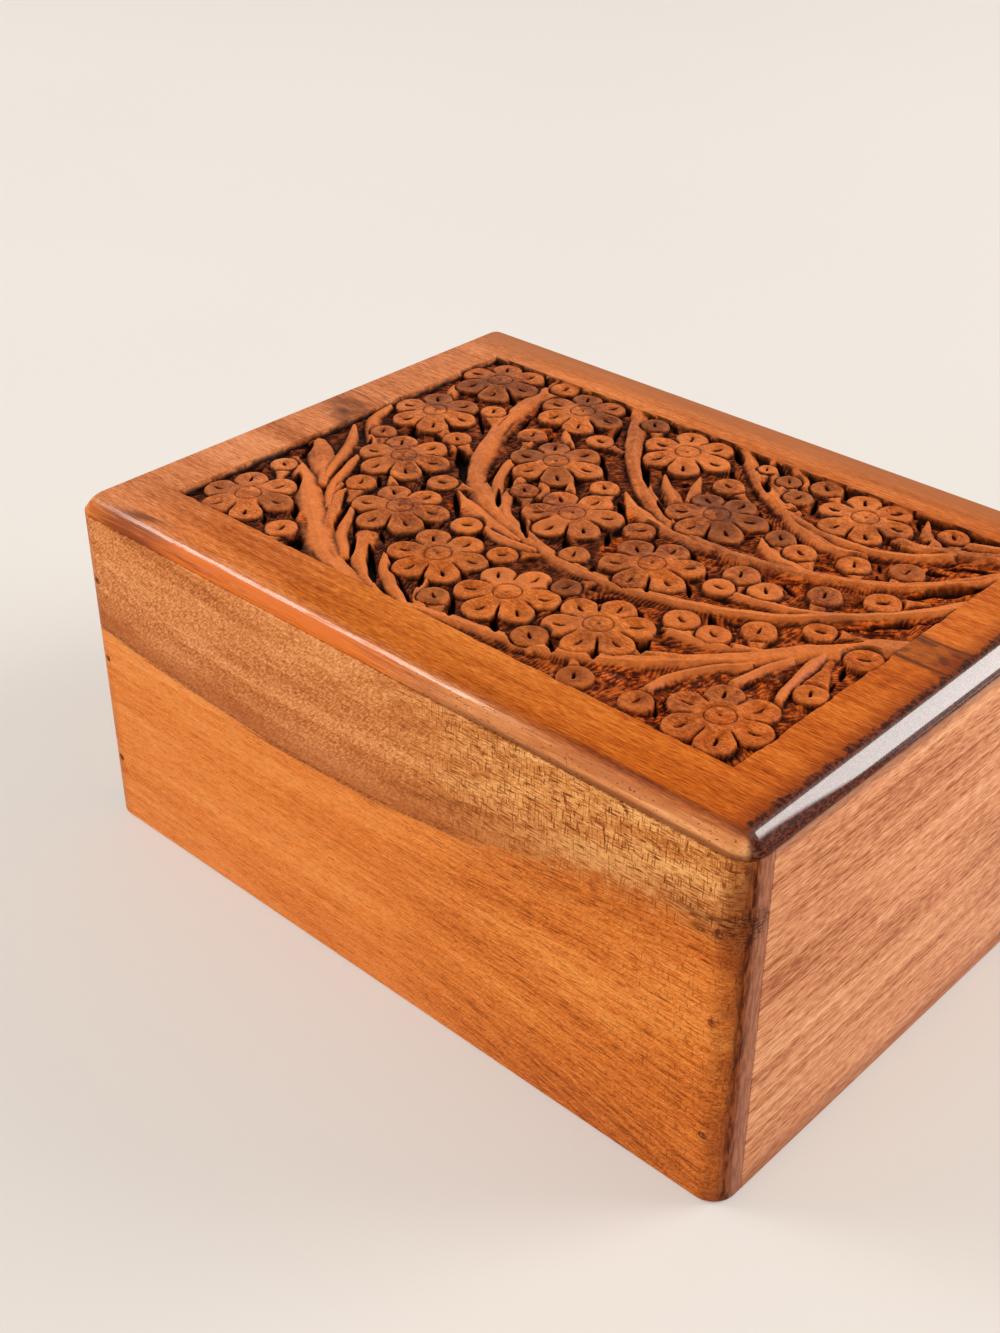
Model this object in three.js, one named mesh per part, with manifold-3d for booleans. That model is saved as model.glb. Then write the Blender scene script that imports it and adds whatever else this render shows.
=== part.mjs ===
// A wooden keepsake box with a deep floral carving in its lid.
// Four butted walls are nailed at the corners, the base is let in from below,
// and the loose lid is one rebated board that drops inside the walls.
// Millimetres, +Z up. X runs along the length, -Y is the front,
// and the origin is under the middle of the box.
import * as THREE from 'three';
import { mergeVertices } from 'three/addons/utils/BufferGeometryUtils.js';
import Module from 'manifold-3d';

// Overall size
const LENGTH = 190;
const WIDTH = 140;
const HEIGHT = 88.5;

// Rounded edges of the closed box
const CORNER_ROUND = 5.5;
const TOP_ROUND = 4.2;
const BOTTOM_EASE = 0.7;
const SHARPEST_CORNER = 0.3;

// Walls, butted at the corners with the long ones outside
const WALL = 7.5;
const GLUE_LINE = 0.12;

// Lid, a thin edge over the walls and a thick middle between them
const LID_EDGE = 4;
const LID_THICKNESS = 10;
const SEAM_GAP = 0.25;
const LID_CLEARANCE = 0.5;

// Carved field, sunk between two plain borders
const END_BORDER = 16.5;
const SIDE_BORDER = 17.1;
const CARVING_DEPTH = 4;

// Base, in a rebate round the foot of the walls
const BASE_THICKNESS = 6;
const BASE_REBATE = 4;
const BASE_CLEARANCE = 0.3;

// Brads at the corners and round the base
const BRAD_LENGTH = 20;
const BRAD_RADIUS = 0.6;
const BRAD_HEAD_RADIUS = 0.9;
const BRAD_HEAD_THICKNESS = 0.8;
const BRAD_POINT = 1.5;
const BRAD_SINK = 0.2;
const BRAD_CLEARANCE = 0.25;
const BRAD_FROM_CORNER = 5;
const BRAD_HEIGHTS = [17.5, 46.3, 67.5];
const BASE_BRAD_PITCH = 60;

// Steps of the rounded forms
const CORNER_STEPS = 5;
const TOP_STEPS = 4;
const EASE_STEPS = 2;
const BRAD_SIDES = 8;
const LOBE_STEPS = 4;
const HEAD_STEPS = 5;
const STEM_STEPS = 2;

// Worked out from the sizes above
const HALF_LENGTH = LENGTH / 2;
const HALF_WIDTH = WIDTH / 2;
const WALL_TOP = HEIGHT - LID_EDGE - SEAM_GAP;
const OUTSIDE = 5;

// The carving was drawn on a field of this size, from its middle, and follows the real one
const DRAWN_LENGTH = 157;
const DRAWN_WIDTH = 105.8;
const STRETCH_X = (LENGTH - 2 * END_BORDER) / DRAWN_LENGTH;
const STRETCH_Y = (WIDTH - 2 * SIDE_BORDER) / DRAWN_WIDTH;

// Flowers have a hub and six round petals: x, y and the turn of the first petal in degrees
const PETALS = 6;
const PETAL_REACH = 7.7;
const PETAL_RADIUS = 3.9;
const FLOWERS = [
  [-67.6, 42.7, 0], [-39.7, 42.8, 2], [-6.5, 42.4, 1], [42.8, 43, 4],
  [-66.9, 18.3, 10], [-26.2, 17.5, 14], [17.8, 21.8, 22],
  [-54.5, -4.7, 19], [-6.1, 0.4, 30], [21.2, -5.2, 33],
  [-66.4, -42.4, 15], [-36.7, -23.4, 25], [-15, -33.1, 22],
  [7, -34.9, 27], [29, -31.8, 38], [66.7, -41.3, 1],
];

// Buds are a round head on a tapered stalk: head x, y and radius, then the foot of the stalk
const STALK_WIDTH = 1.9;
const BUDS = [
  [-72.6, -26.2, 3.2, -67.5, -32], [-52.5, -20.5, 3.5, -48, -28], [-49.2, -47.6, 3.6, -46, -55],
  [-20.3, -18.8, 3.6, -14, -14], [-5.3, -23.2, 3.4, 0, -18], [-3.6, -45.8, 3.3, 3, -51],
  [13.8, -24.2, 3.2, 17, -18], [21.1, -43.6, 3.9, 25, -48], [37.5, -48.8, 3.7, 33, -44],
  [51.5, -47.3, 3.5, 50, -40], [39.5, -18.2, 3.8, 46, -23], [47.6, -18.3, 3.6, 52, -21],
  [53.6, -11.2, 3.7, 58, -19], [62.6, -2.9, 3.4, 71, 1], [75, -6, 3.9, 70, -8],
  [74.4, -23.2, 3.3, 70.5, -11], [65.5, 15.2, 3.9, 72, 21], [55.3, 9.2, 3.7, 57, 2],
  [45.1, 2.6, 3.7, 50, -1], [37.6, 4.4, 3.9, 41, -2], [37.2, -2.8, 3.4, 43, -3],
  [62.2, 29.5, 3.8, 62.5, 22], [52.4, 24.3, 3.7, 57, 18], [61.5, 49.3, 3.5, 66, 43],
  [28, 49.9, 3.8, 35, 45], [25.5, 42, 3.5, 26, 35], [19.5, 47, 3, 24, 43],
  [12.2, 48.7, 2.3, 14, 44], [10.7, 35.6, 3.7, 18, 33], [34, 23.5, 3.4, 40, 17],
  [41, 20.8, 3.6, 48, 15], [-26.4, 33.8, 3.4, -19, 33], [-40.5, 25, 3.5, -37, 18],
  [-52.6, 50.8, 3.7, -53, 42], [-56.8, 28.6, 3.2, -49, 21], [-52.4, 11.2, 3.4, -45, 8],
  [-68.7, 2.2, 3.2, -64, -3], [-38.8, -7.6, 3.6, -30, -5], [-22, 2.1, 3.2, -17, -3],
  [-9.4, 15.4, 3.4, -4, 10], [-22, 49.4, 3.4, -17, 44], [9.3, 5.4, 3.5, 13, 9],
  [5.9, -12.7, 3.4, 9, -17],
];

// Stems and leaves are ribbons: x, y and width at each point of a smooth curve
const STEMS = [
  [[82, 57, 3], [72, 50.5, 3], [66, 48, 2.5], [59, 46.5, 1.5]],
  [[82, 52, 6], [72, 45.2, 4.5], [65, 42, 4], [59, 39.8, 3.2], [53, 39.8, 2.5]],
  [[66, 41, 3], [60, 35, 3], [53, 31.6, 3], [45, 30.6, 3.2], [37, 31.3, 3.4], [29, 33.5, 4],
    [21, 38, 4.5], [13, 44, 4.5], [6, 50, 4], [1, 56, 3.5]],
  [[81, 42, 7], [74, 32.5, 4.5], [67.5, 24.5, 4], [60, 18.8, 3.8], [51, 14.6, 4], [42, 11.6, 4],
    [32, 9.8, 3.8], [22, 9.6, 3.8], [13, 11.8, 4], [4, 16.6, 4.5], [-4, 22.3, 4.5],
    [-12, 29.5, 4.5], [-18.5, 37, 4.5], [-24, 45, 4.5], [-31, 55, 4.5]],
  [[81, 26, 7], [74, 16.5, 4], [68, 9.2, 3.5], [61.5, 3.2, 3.2], [55, -0.3, 3], [48, -2.3, 2.6],
    [40, -3.8, 2.2]],
  [[62, 3.5, 3], [56, -3, 3.4], [49, -7.8, 3.6], [41, -11.8, 4], [32, -15, 4.2], [23, -17, 4.2],
    [13, -17.8, 4.6], [3, -16.8, 4.8], [-6, -15, 5.4], [-14, -12.5, 6], [-22, -9, 7],
    [-29, -5, 6.5], [-34.5, -1, 5.5], [-38.2, 4, 5.5], [-42.2, 10.5, 6.5], [-46.6, 19, 6],
    [-50, 27, 6.5], [-52.3, 35, 6], [-54, 43, 5.5], [-56, 56, 4]],
  [[80, 2, 9], [75, -2, 9], [69, -9, 9], [64, -15.5, 8], [58.5, -22.5, 6.5], [52.5, -28.5, 6],
    [47.5, -33.5, 5.5], [42, -38.3, 5], [35, -42.5, 4.5], [27, -46, 4.2], [17, -48.6, 4.2],
    [6, -50.4, 4], [-6, -53.5, 4]],
  [[-10, -55, 5], [-22, -53.5, 7], [-33, -49.5, 8], [-43, -42.8, 8.5], [-52, -36.5, 8],
    [-60, -30.5, 7], [-67, -26, 5], [-73, -23, 3]],
];
const LEAVES = [
  [[-37.5, 22, 1.5], [-35, 13, 2.2], [-32.5, 6, 2.5], [-28.5, 0, 3], [-23, -6, 3.5]],
  [[-30, 11, 1.6], [-26.5, 6, 2], [-24.5, 0.5, 2.4], [-20.5, -6, 3], [-15.5, -11, 3.5]],
  [[-17, -2, 2], [-12.5, -8, 2.2], [-7, -13, 2.4], [0, -16, 2.6]],
  [[50, -30, 3], [44.5, -33, 2.6], [40, -35.2, 2]],
  [[60, -23, 3], [54.6, -30.5, 3], [51.3, -37.5, 2.8], [50.3, -44, 2.6]],
  [[65, -16, 3], [63, -23, 2.6], [61.6, -29, 2.2], [61.5, -33, 2]],
  [[68.5, -10, 3.5], [69.2, -18, 2.6], [70.2, -26, 2.2], [72, -31, 2]],
  [[-45.5, -29, 2], [-41.5, -35, 2.6], [-37, -41, 3.2], [-30, -46.5, 4]],
  [[-75.5, -13, 5], [-70.5, -16.5, 7], [-65, -21, 6.5], [-58, -27, 5]],
  [[-75.5, -1, 3], [-71, -6, 3.5], [-67, -12, 3.5], [-63.5, -19, 3.2], [-59, -26, 4]],
  [[-63.5, -10, 1.6], [-61.5, -15, 2.4], [-58.8, -21, 2.6], [-54.8, -27.5, 3], [-49.5, -33, 3.5]],
  [[-55.5, -20, 2], [-54, -25, 2.6], [-50.8, -29.5, 3], [-46.5, -34.5, 3], [-42, -39.5, 3]],
  [[-33, -37, 5.5], [-29.5, -41.5, 5], [-25, -46.5, 4], [-19, -50.5, 3], [-10, -54, 3]],
  [[41, -23.5, 5], [48, -22.8, 6.5], [55, -20, 5], [60, -17, 4]],
  [[-77.5, 13, 2.5], [-75.5, 6, 4], [-71.5, 1, 4], [-66, -4, 3]],
  [[-33, -8.8, 2], [-28, -11.5, 5], [-22, -13.6, 5], [-15, -15.2, 4], [-8, -16.5, 3]],
  [[-17, -17.2, 1.5], [-10, -18.6, 3], [-2, -18, 3]],
  [[-50, -13.5, 1.5], [-46.5, -16, 3], [-42.5, -18.5, 2]],
  [[-24, -40, 2], [-20, -44, 3.2], [-14, -48.3, 3], [-6, -52.5, 3]],
  [[-9, -42, 1.5], [-7, -47, 2], [-1, -52, 2.5]],
  [[-4, 16.5, 2], [2, 12.3, 4], [9, 9.6, 4.5], [17, 8.4, 3.5], [26, 8.3, 3]],
  [[-3, 29.5, 2], [1, 25.5, 4], [6, 21.8, 4.5], [11, 17.5, 3]],
  [[4, 34, 1.5], [6.2, 29, 3], [9, 24, 3]],
  [[11, 53.5, 2.5], [16, 47.5, 4], [21, 42.5, 4.5], [26, 38, 3.5], [31, 35, 2]],
  [[17, 53.5, 3], [21, 50, 4], [25, 46, 3]],
  [[54, 51, 2], [57, 46, 3.5], [61, 43, 2.5]],
  [[28, 33.5, 3], [34, 30, 4.5], [41, 27.4, 5], [47, 26.8, 4], [52, 29, 3]],
  [[31.5, 20, 2], [35, 16.8, 5], [41, 14.6, 5], [47, 14, 4]],
  [[-37, 33.5, 1.5], [-34, 30, 3], [-30, 27, 2]],
  [[-18, 13, 1.5], [-14.5, 9.5, 2.5], [-12, 5, 2]],
  [[-24, 10, 1.5], [-20, 6.5, 3], [-17.5, 2.5, 3]],
  [[-75.5, 36, 2], [-73.5, 32, 4], [-71, 28, 3]],
  [[-62, 13.5, 2], [-57, 11.5, 4], [-50, 6.5, 3]],
];

const wasm = await Module();
wasm.setup();

// A closed geometry as a solid, without the slivers where points fall together
function toSolid(geometry) {
  const bare = geometry.clone();
  bare.deleteAttribute('normal');
  bare.deleteAttribute('uv');
  const merged = mergeVertices(bare, 1e-4);
  const corners = merged.index.array;
  const kept = [];
  for (let i = 0; i < corners.length; i += 3) {
    const [a, b, c] = [corners[i], corners[i + 1], corners[i + 2]];
    if (a !== b && b !== c && c !== a) kept.push(a, b, c);
  }
  return new wasm.Manifold(new wasm.Mesh({
    numProp: 3,
    vertProperties: merged.attributes.position.array,
    triVerts: Uint32Array.from(kept),
  }));
}

// A solid as a named mesh
function toMesh(name, solid, material) {
  const { vertProperties, triVerts } = solid.getMesh();
  const geometry = new THREE.BufferGeometry();
  geometry.setAttribute('position', new THREE.BufferAttribute(vertProperties, 3));
  geometry.setIndex(new THREE.BufferAttribute(triVerts, 1));
  geometry.computeVertexNormals();
  const mesh = new THREE.Mesh(geometry, material);
  mesh.name = name;
  return mesh;
}

// A plain block between two corners
function block(x0, x1, y0, y1, z0, z1) {
  const box = new THREE.BoxGeometry(x1 - x0, y1 - y0, z1 - z0);
  box.translate((x0 + x1) / 2, (y0 + y1) / 2, (z0 + z1) / 2);
  return toSolid(box);
}

// A block centred on the box, given by its half length and half width
function centredBlock(halfX, halfY, z0, z1) {
  return block(-halfX, halfX, -halfY, halfY, z0, z1);
}

// One level of the closed box: a rectangle with rounded corners, drawn in by inset
function roundedRing(inset, z) {
  const radius = Math.max(CORNER_ROUND - inset, SHARPEST_CORNER);
  const ring = [];
  for (let corner = 0; corner < 4; corner += 1) {
    const turn = corner * Math.PI / 2;
    const signX = corner === 0 || corner === 3 ? 1 : -1;
    const signY = corner < 2 ? 1 : -1;
    for (let step = 0; step <= CORNER_STEPS; step += 1) {
      const angle = turn + step / CORNER_STEPS * Math.PI / 2;
      ring.push([
        signX * (HALF_LENGTH - inset - radius) + radius * Math.cos(angle),
        signY * (HALF_WIDTH - inset - radius) + radius * Math.sin(angle),
        z,
      ]);
    }
  }
  return ring;
}

// Insets and heights of the levels, from the eased foot to the rounded top edge
function boxLevels() {
  const levels = [];
  for (let step = 0; step <= EASE_STEPS; step += 1) {
    const angle = step / EASE_STEPS * Math.PI / 2;
    levels.push([BOTTOM_EASE * (1 - Math.sin(angle)), BOTTOM_EASE * (1 - Math.cos(angle))]);
  }
  for (let step = 0; step <= TOP_STEPS; step += 1) {
    const angle = step / TOP_STEPS * Math.PI / 2;
    levels.push([TOP_ROUND * (1 - Math.cos(angle)), HEIGHT - TOP_ROUND * (1 - Math.sin(angle))]);
  }
  return levels;
}

// The closed box as one rounded block, from which every outside board is cut
function roundedBox() {
  const rings = boxLevels().map(([inset, z]) => roundedRing(inset, z));
  const count = rings[0].length;
  const points = rings.flat();
  const foot = points.push([0, 0, 0]) - 1;
  const crown = points.push([0, 0, HEIGHT]) - 1;
  const faces = [];
  for (let i = 0; i < count; i += 1) {
    const next = (i + 1) % count;
    for (let level = 0; level < rings.length - 1; level += 1) {
      const low = level * count;
      const high = low + count;
      faces.push(low + i, low + next, high + next, low + i, high + next, high + i);
    }
    const last = (rings.length - 1) * count;
    faces.push(foot, next, i, crown, last + i, last + next);
  }
  const geometry = new THREE.BufferGeometry();
  geometry.setAttribute('position', new THREE.Float32BufferAttribute(points.flat(), 3));
  geometry.setIndex(faces);
  return toSolid(geometry);
}

// An upright prism over an outline of [x, y] points
function prism(outline, z0, z1) {
  const shape = new THREE.Shape(outline.map(([x, y]) => new THREE.Vector2(x * STRETCH_X, y * STRETCH_Y)));
  const geometry = new THREE.ExtrudeGeometry(shape, { depth: z1 - z0, bevelEnabled: false });
  geometry.translate(0, 0, z0);
  return toSolid(geometry);
}

// Outline of a flower: the outer arcs of its petals, which meet in the notches
function flowerOutline([x, y, turn]) {
  const half = Math.PI / PETALS;
  const notch = PETAL_REACH * Math.cos(half)
    + Math.sqrt(PETAL_RADIUS ** 2 - (PETAL_REACH * Math.sin(half)) ** 2);
  const spread = Math.atan2(notch * Math.sin(half), notch * Math.cos(half) - PETAL_REACH);
  const outline = [];
  for (let petal = 0; petal < PETALS; petal += 1) {
    const heading = THREE.MathUtils.degToRad(turn) + petal * 2 * half;
    const centreX = x + PETAL_REACH * Math.cos(heading);
    const centreY = y + PETAL_REACH * Math.sin(heading);
    for (let step = 0; step < LOBE_STEPS; step += 1) {
      const angle = heading + spread * (2 * step / LOBE_STEPS - 1);
      outline.push([centreX + PETAL_RADIUS * Math.cos(angle), centreY + PETAL_RADIUS * Math.sin(angle)]);
    }
  }
  return outline;
}

// Outline of a bud: half a circle for the head, narrowing to the foot of the stalk
function budOutline([x, y, radius, footX, footY]) {
  const heading = Math.atan2(footY - y, footX - x);
  const outline = [];
  for (let step = 0; step <= HEAD_STEPS; step += 1) {
    const angle = heading + Math.PI * (0.5 + step / HEAD_STEPS);
    outline.push([x + radius * Math.cos(angle), y + radius * Math.sin(angle)]);
  }
  const sideX = Math.sin(heading) * STALK_WIDTH / 2;
  const sideY = -Math.cos(heading) * STALK_WIDTH / 2;
  outline.push([footX + sideX, footY + sideY], [footX - sideX, footY - sideY]);
  return outline;
}

// Outline of a ribbon whose width changes along its curve
function ribbonOutline(points) {
  const curve = new THREE.CatmullRomCurve3(points.map((point) => new THREE.Vector3(...point)));
  const samples = curve.getPoints((points.length - 1) * STEM_STEPS);
  const left = [];
  const right = [];
  samples.forEach((here, i) => {
    const before = samples[Math.max(i - 1, 0)];
    const after = samples[Math.min(i + 1, samples.length - 1)];
    const heading = Math.atan2(after.y - before.y, after.x - before.x);
    const sideX = -Math.sin(heading) * here.z / 2;
    const sideY = Math.cos(heading) * here.z / 2;
    left.push([here.x + sideX, here.y + sideY]);
    right.unshift([here.x - sideX, here.y - sideY]);
  });
  return [...left, ...right];
}

// The wood that the carver cut away, between the flowers, buds, stems and leaves
function carvedAway() {
  const outlines = [
    ...FLOWERS.map(flowerOutline),
    ...BUDS.map(budOutline),
    ...[...STEMS, ...LEAVES].map(ribbonOutline),
  ];
  const ground = HEIGHT - CARVING_DEPTH;
  let away = centredBlock(HALF_LENGTH - END_BORDER, HALF_WIDTH - SIDE_BORDER, ground, HEIGHT + 1);
  for (const outline of outlines) away = away.subtract(prism(outline, ground - 1, HEIGHT + 2));
  return away;
}

// Lid board: a rounded edge on top of the walls and a step that drops between them
function lidBoard(box) {
  const edge = box.intersect(centredBlock(
    HALF_LENGTH + OUTSIDE, HALF_WIDTH + OUTSIDE, HEIGHT - LID_EDGE, HEIGHT + OUTSIDE));
  const inset = WALL + LID_CLEARANCE;
  const step = centredBlock(
    HALF_LENGTH - inset, HALF_WIDTH - inset, HEIGHT - LID_THICKNESS, HEIGHT - LID_EDGE / 2);
  return edge.add(step).subtract(carvedAway());
}

// Space for the base at the foot of the walls
function basePocket() {
  const inset = WALL - BASE_REBATE;
  return centredBlock(HALF_LENGTH - inset, HALF_WIDTH - inset, -OUTSIDE, BASE_THICKNESS + GLUE_LINE);
}

// A front or back panel, the full length of the box
function longPanel(box, side) {
  const inner = side * (HALF_WIDTH - WALL);
  const outer = side * (HALF_WIDTH + OUTSIDE);
  const [y0, y1] = side < 0 ? [outer, inner] : [inner, outer];
  const slab = block(-HALF_LENGTH - OUTSIDE, HALF_LENGTH + OUTSIDE, y0, y1, -OUTSIDE, WALL_TOP);
  return box.intersect(slab).subtract(basePocket());
}

// An end panel, held between the front and the back
function endPanel(box, side) {
  const inner = side * (HALF_LENGTH - WALL);
  const outer = side * (HALF_LENGTH + OUTSIDE);
  const [x0, x1] = side < 0 ? [outer, inner] : [inner, outer];
  const reach = HALF_WIDTH - WALL - GLUE_LINE;
  const slab = block(x0, x1, -reach, reach, -OUTSIDE, WALL_TOP);
  return box.intersect(slab).subtract(basePocket());
}

// Base panel, flush with the foot of the walls
function basePanel() {
  const inset = WALL - BASE_REBATE + BASE_CLEARANCE;
  return centredBlock(HALF_LENGTH - inset, HALF_WIDTH - inset, 0, BASE_THICKNESS);
}

// A brad along +Y from its head at the origin, or with extra all round, the hole for it
function brad(extra) {
  const head = BRAD_HEAD_RADIUS + extra;
  const shank = BRAD_RADIUS + extra;
  const start = extra > 0 ? -BRAD_SINK - extra : 0;
  const profile = [
    [0, start],
    [head, start],
    [head, BRAD_HEAD_THICKNESS + extra],
    [shank, BRAD_HEAD_THICKNESS + extra],
    [shank, BRAD_LENGTH - BRAD_POINT + extra],
    [0, BRAD_LENGTH + extra],
  ];
  return new THREE.LatheGeometry(profile.map(([r, y]) => new THREE.Vector2(r, y)), BRAD_SIDES);
}

// Where each brad sits: its name, its head and its turn
function bradPlaces() {
  const places = [];
  const x = HALF_LENGTH - BRAD_FROM_CORNER;
  for (const [face, sideY] of [['front', -1], ['back', 1]]) {
    for (const [end, sideX] of [['left', -1], ['right', 1]]) {
      BRAD_HEIGHTS.forEach((z, i) => places.push({
        name: `${face}_${end}_brad_${i + 1}`,
        head: [sideX * x, sideY * (HALF_WIDTH - BRAD_SINK), z],
        turn: [0, 0, sideY < 0 ? 0 : Math.PI],
      }));
    }
  }
  const ledge = WALL - BASE_REBATE / 2;
  const under = [[HALF_LENGTH - ledge, 0], [ledge - HALF_LENGTH, 0]];
  for (const side of [-1, 1]) {
    for (const step of [-1, 0, 1]) under.push([step * BASE_BRAD_PITCH, side * (HALF_WIDTH - ledge)]);
  }
  under.forEach(([bradX, bradY], i) => places.push({
    name: `base_brad_${i + 1}`,
    head: [bradX, bradY, BRAD_SINK],
    turn: [Math.PI / 2, 0, 0],
  }));
  return places;
}

// A brad or its hole, turned and moved to its place
function placedBrad({ head, turn }, extra) {
  const geometry = brad(extra);
  geometry.applyMatrix4(new THREE.Matrix4().makeRotationFromEuler(new THREE.Euler(...turn)));
  geometry.translate(...head);
  return toSolid(geometry);
}

const lidWood = new THREE.MeshStandardMaterial({ color: 0xb9622f, roughness: 0.42, metalness: 0 });
const wallWood = new THREE.MeshStandardMaterial({ color: 0xc2743f, roughness: 0.4, metalness: 0 });
const endWood = new THREE.MeshStandardMaterial({ color: 0xd09068, roughness: 0.4, metalness: 0 });
const baseWood = new THREE.MeshStandardMaterial({ color: 0xa5673c, roughness: 0.6, metalness: 0 });
const bradSteel = new THREE.MeshStandardMaterial({ color: 0x4d3526, roughness: 0.5, metalness: 0.7 });

const box = roundedBox();
const boards = [
  ['lid_board', lidBoard(box), lidWood],
  ['front_panel', longPanel(box, -1), wallWood],
  ['back_panel', longPanel(box, 1), wallWood],
  ['left_end_panel', endPanel(box, -1), endWood],
  ['right_end_panel', endPanel(box, 1), endWood],
  ['base_panel', basePanel(), baseWood],
];

const carvedBox = new THREE.Group();
const places = bradPlaces();
for (const [name, solid, material] of boards) {
  const drilled = name === 'lid_board'
    ? solid
    : places.reduce((rest, place) => rest.subtract(placedBrad(place, BRAD_CLEARANCE)), solid);
  carvedBox.add(toMesh(name, drilled, material.clone()));
}
for (const place of places) {
  carvedBox.add(toMesh(place.name, placedBrad(place, 0), bradSteel.clone()));
}

export default carvedBox;
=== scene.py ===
# A wooden keepsake box with a deep floral carving in its lid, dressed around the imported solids.
# The carving is repeated from the part's own lists, in millimetres, and everything else is in metres.
import math

import bmesh
import bpy
import numpy as np
from mathutils import Matrix, Vector


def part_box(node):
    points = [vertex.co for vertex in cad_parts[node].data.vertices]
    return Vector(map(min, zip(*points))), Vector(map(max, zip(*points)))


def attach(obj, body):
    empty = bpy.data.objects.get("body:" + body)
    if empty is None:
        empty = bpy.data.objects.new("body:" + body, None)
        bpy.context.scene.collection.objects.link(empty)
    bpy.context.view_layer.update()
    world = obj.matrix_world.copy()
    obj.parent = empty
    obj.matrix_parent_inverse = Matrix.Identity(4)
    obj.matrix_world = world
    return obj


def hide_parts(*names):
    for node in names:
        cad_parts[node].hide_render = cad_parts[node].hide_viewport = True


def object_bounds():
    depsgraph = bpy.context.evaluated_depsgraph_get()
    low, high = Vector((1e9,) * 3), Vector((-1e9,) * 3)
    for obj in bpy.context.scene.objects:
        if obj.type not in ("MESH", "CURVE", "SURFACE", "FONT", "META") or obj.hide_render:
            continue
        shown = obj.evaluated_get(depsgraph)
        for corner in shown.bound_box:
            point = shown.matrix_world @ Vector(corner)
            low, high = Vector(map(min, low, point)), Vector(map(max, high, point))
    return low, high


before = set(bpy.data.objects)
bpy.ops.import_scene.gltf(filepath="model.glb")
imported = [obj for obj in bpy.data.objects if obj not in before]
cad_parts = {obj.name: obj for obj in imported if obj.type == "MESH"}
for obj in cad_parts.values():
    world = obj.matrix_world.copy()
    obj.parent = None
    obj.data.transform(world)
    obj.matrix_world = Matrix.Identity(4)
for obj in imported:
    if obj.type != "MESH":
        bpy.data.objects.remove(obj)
CAD_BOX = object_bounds()

MM = 0.001

# Sizes of the box, read from the solids, in millimetres
HALF_LENGTH, HALF_WIDTH, HEIGHT = [value / MM for value in CAD_BOX[1]]
LID_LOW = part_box("lid_board")[0] / MM
FRONT_LOW, FRONT_HIGH = [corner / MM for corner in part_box("front_panel")]
END_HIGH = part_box("right_end_panel")[1] / MM
BASE_LOW, BASE_HIGH = [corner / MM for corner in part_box("base_panel")]
WALL = FRONT_HIGH.y - FRONT_LOW.y
WALL_TOP = FRONT_HIGH.z

# Rounded edges, the lid's edge and step, and the base's rebate, as in the solids
CORNER_ROUND = 5.5
TOP_ROUND = 4.2
BOTTOM_EASE = 0.7
SHARPEST_CORNER = 0.3
LID_EDGE = 4.0
LID_CLEARANCE = 0.5
BASE_REBATE = 4.0
GLUE_LINE = 0.12
ARRIS = 0.18
BRAD_POCKET_RADIUS = 0.94
BRAD_POCKET_DEPTH = 1.3

# Carved field: its half size, the depth of its ground and pits, and how steeply its walls fall
HALF_FIELD_X = HALF_LENGTH - 16.5
HALF_FIELD_Y = HALF_WIDTH - 17.1
FIELD_MARGIN = 0.8
GROUND_DEPTH = 1.8
PIT_DEPTH = 3.95
STEEPNESS = 4.6
GRID_STEP = 0.25
FIELD_TRIANGLES = 182000

# Six-petalled flowers: x, y and the turn of the first petal in degrees
PETALS = 6
PETAL_REACH = 7.7
PETAL_RADIUS = 3.9
HUB_RADIUS = 3.05
FLOWERS = [
  [-67.6, 42.7, 0], [-39.7, 42.8, 2], [-6.5, 42.4, 1], [42.8, 43, 4],
  [-66.9, 18.3, 10], [-26.2, 17.5, 14], [17.8, 21.8, 22],
  [-54.5, -4.7, 19], [-6.1, 0.4, 30], [21.2, -5.2, 33],
  [-66.4, -42.4, 15], [-36.7, -23.4, 25], [-15, -33.1, 22],
  [7, -34.9, 27], [29, -31.8, 38], [66.7, -41.3, 1],
]

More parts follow.
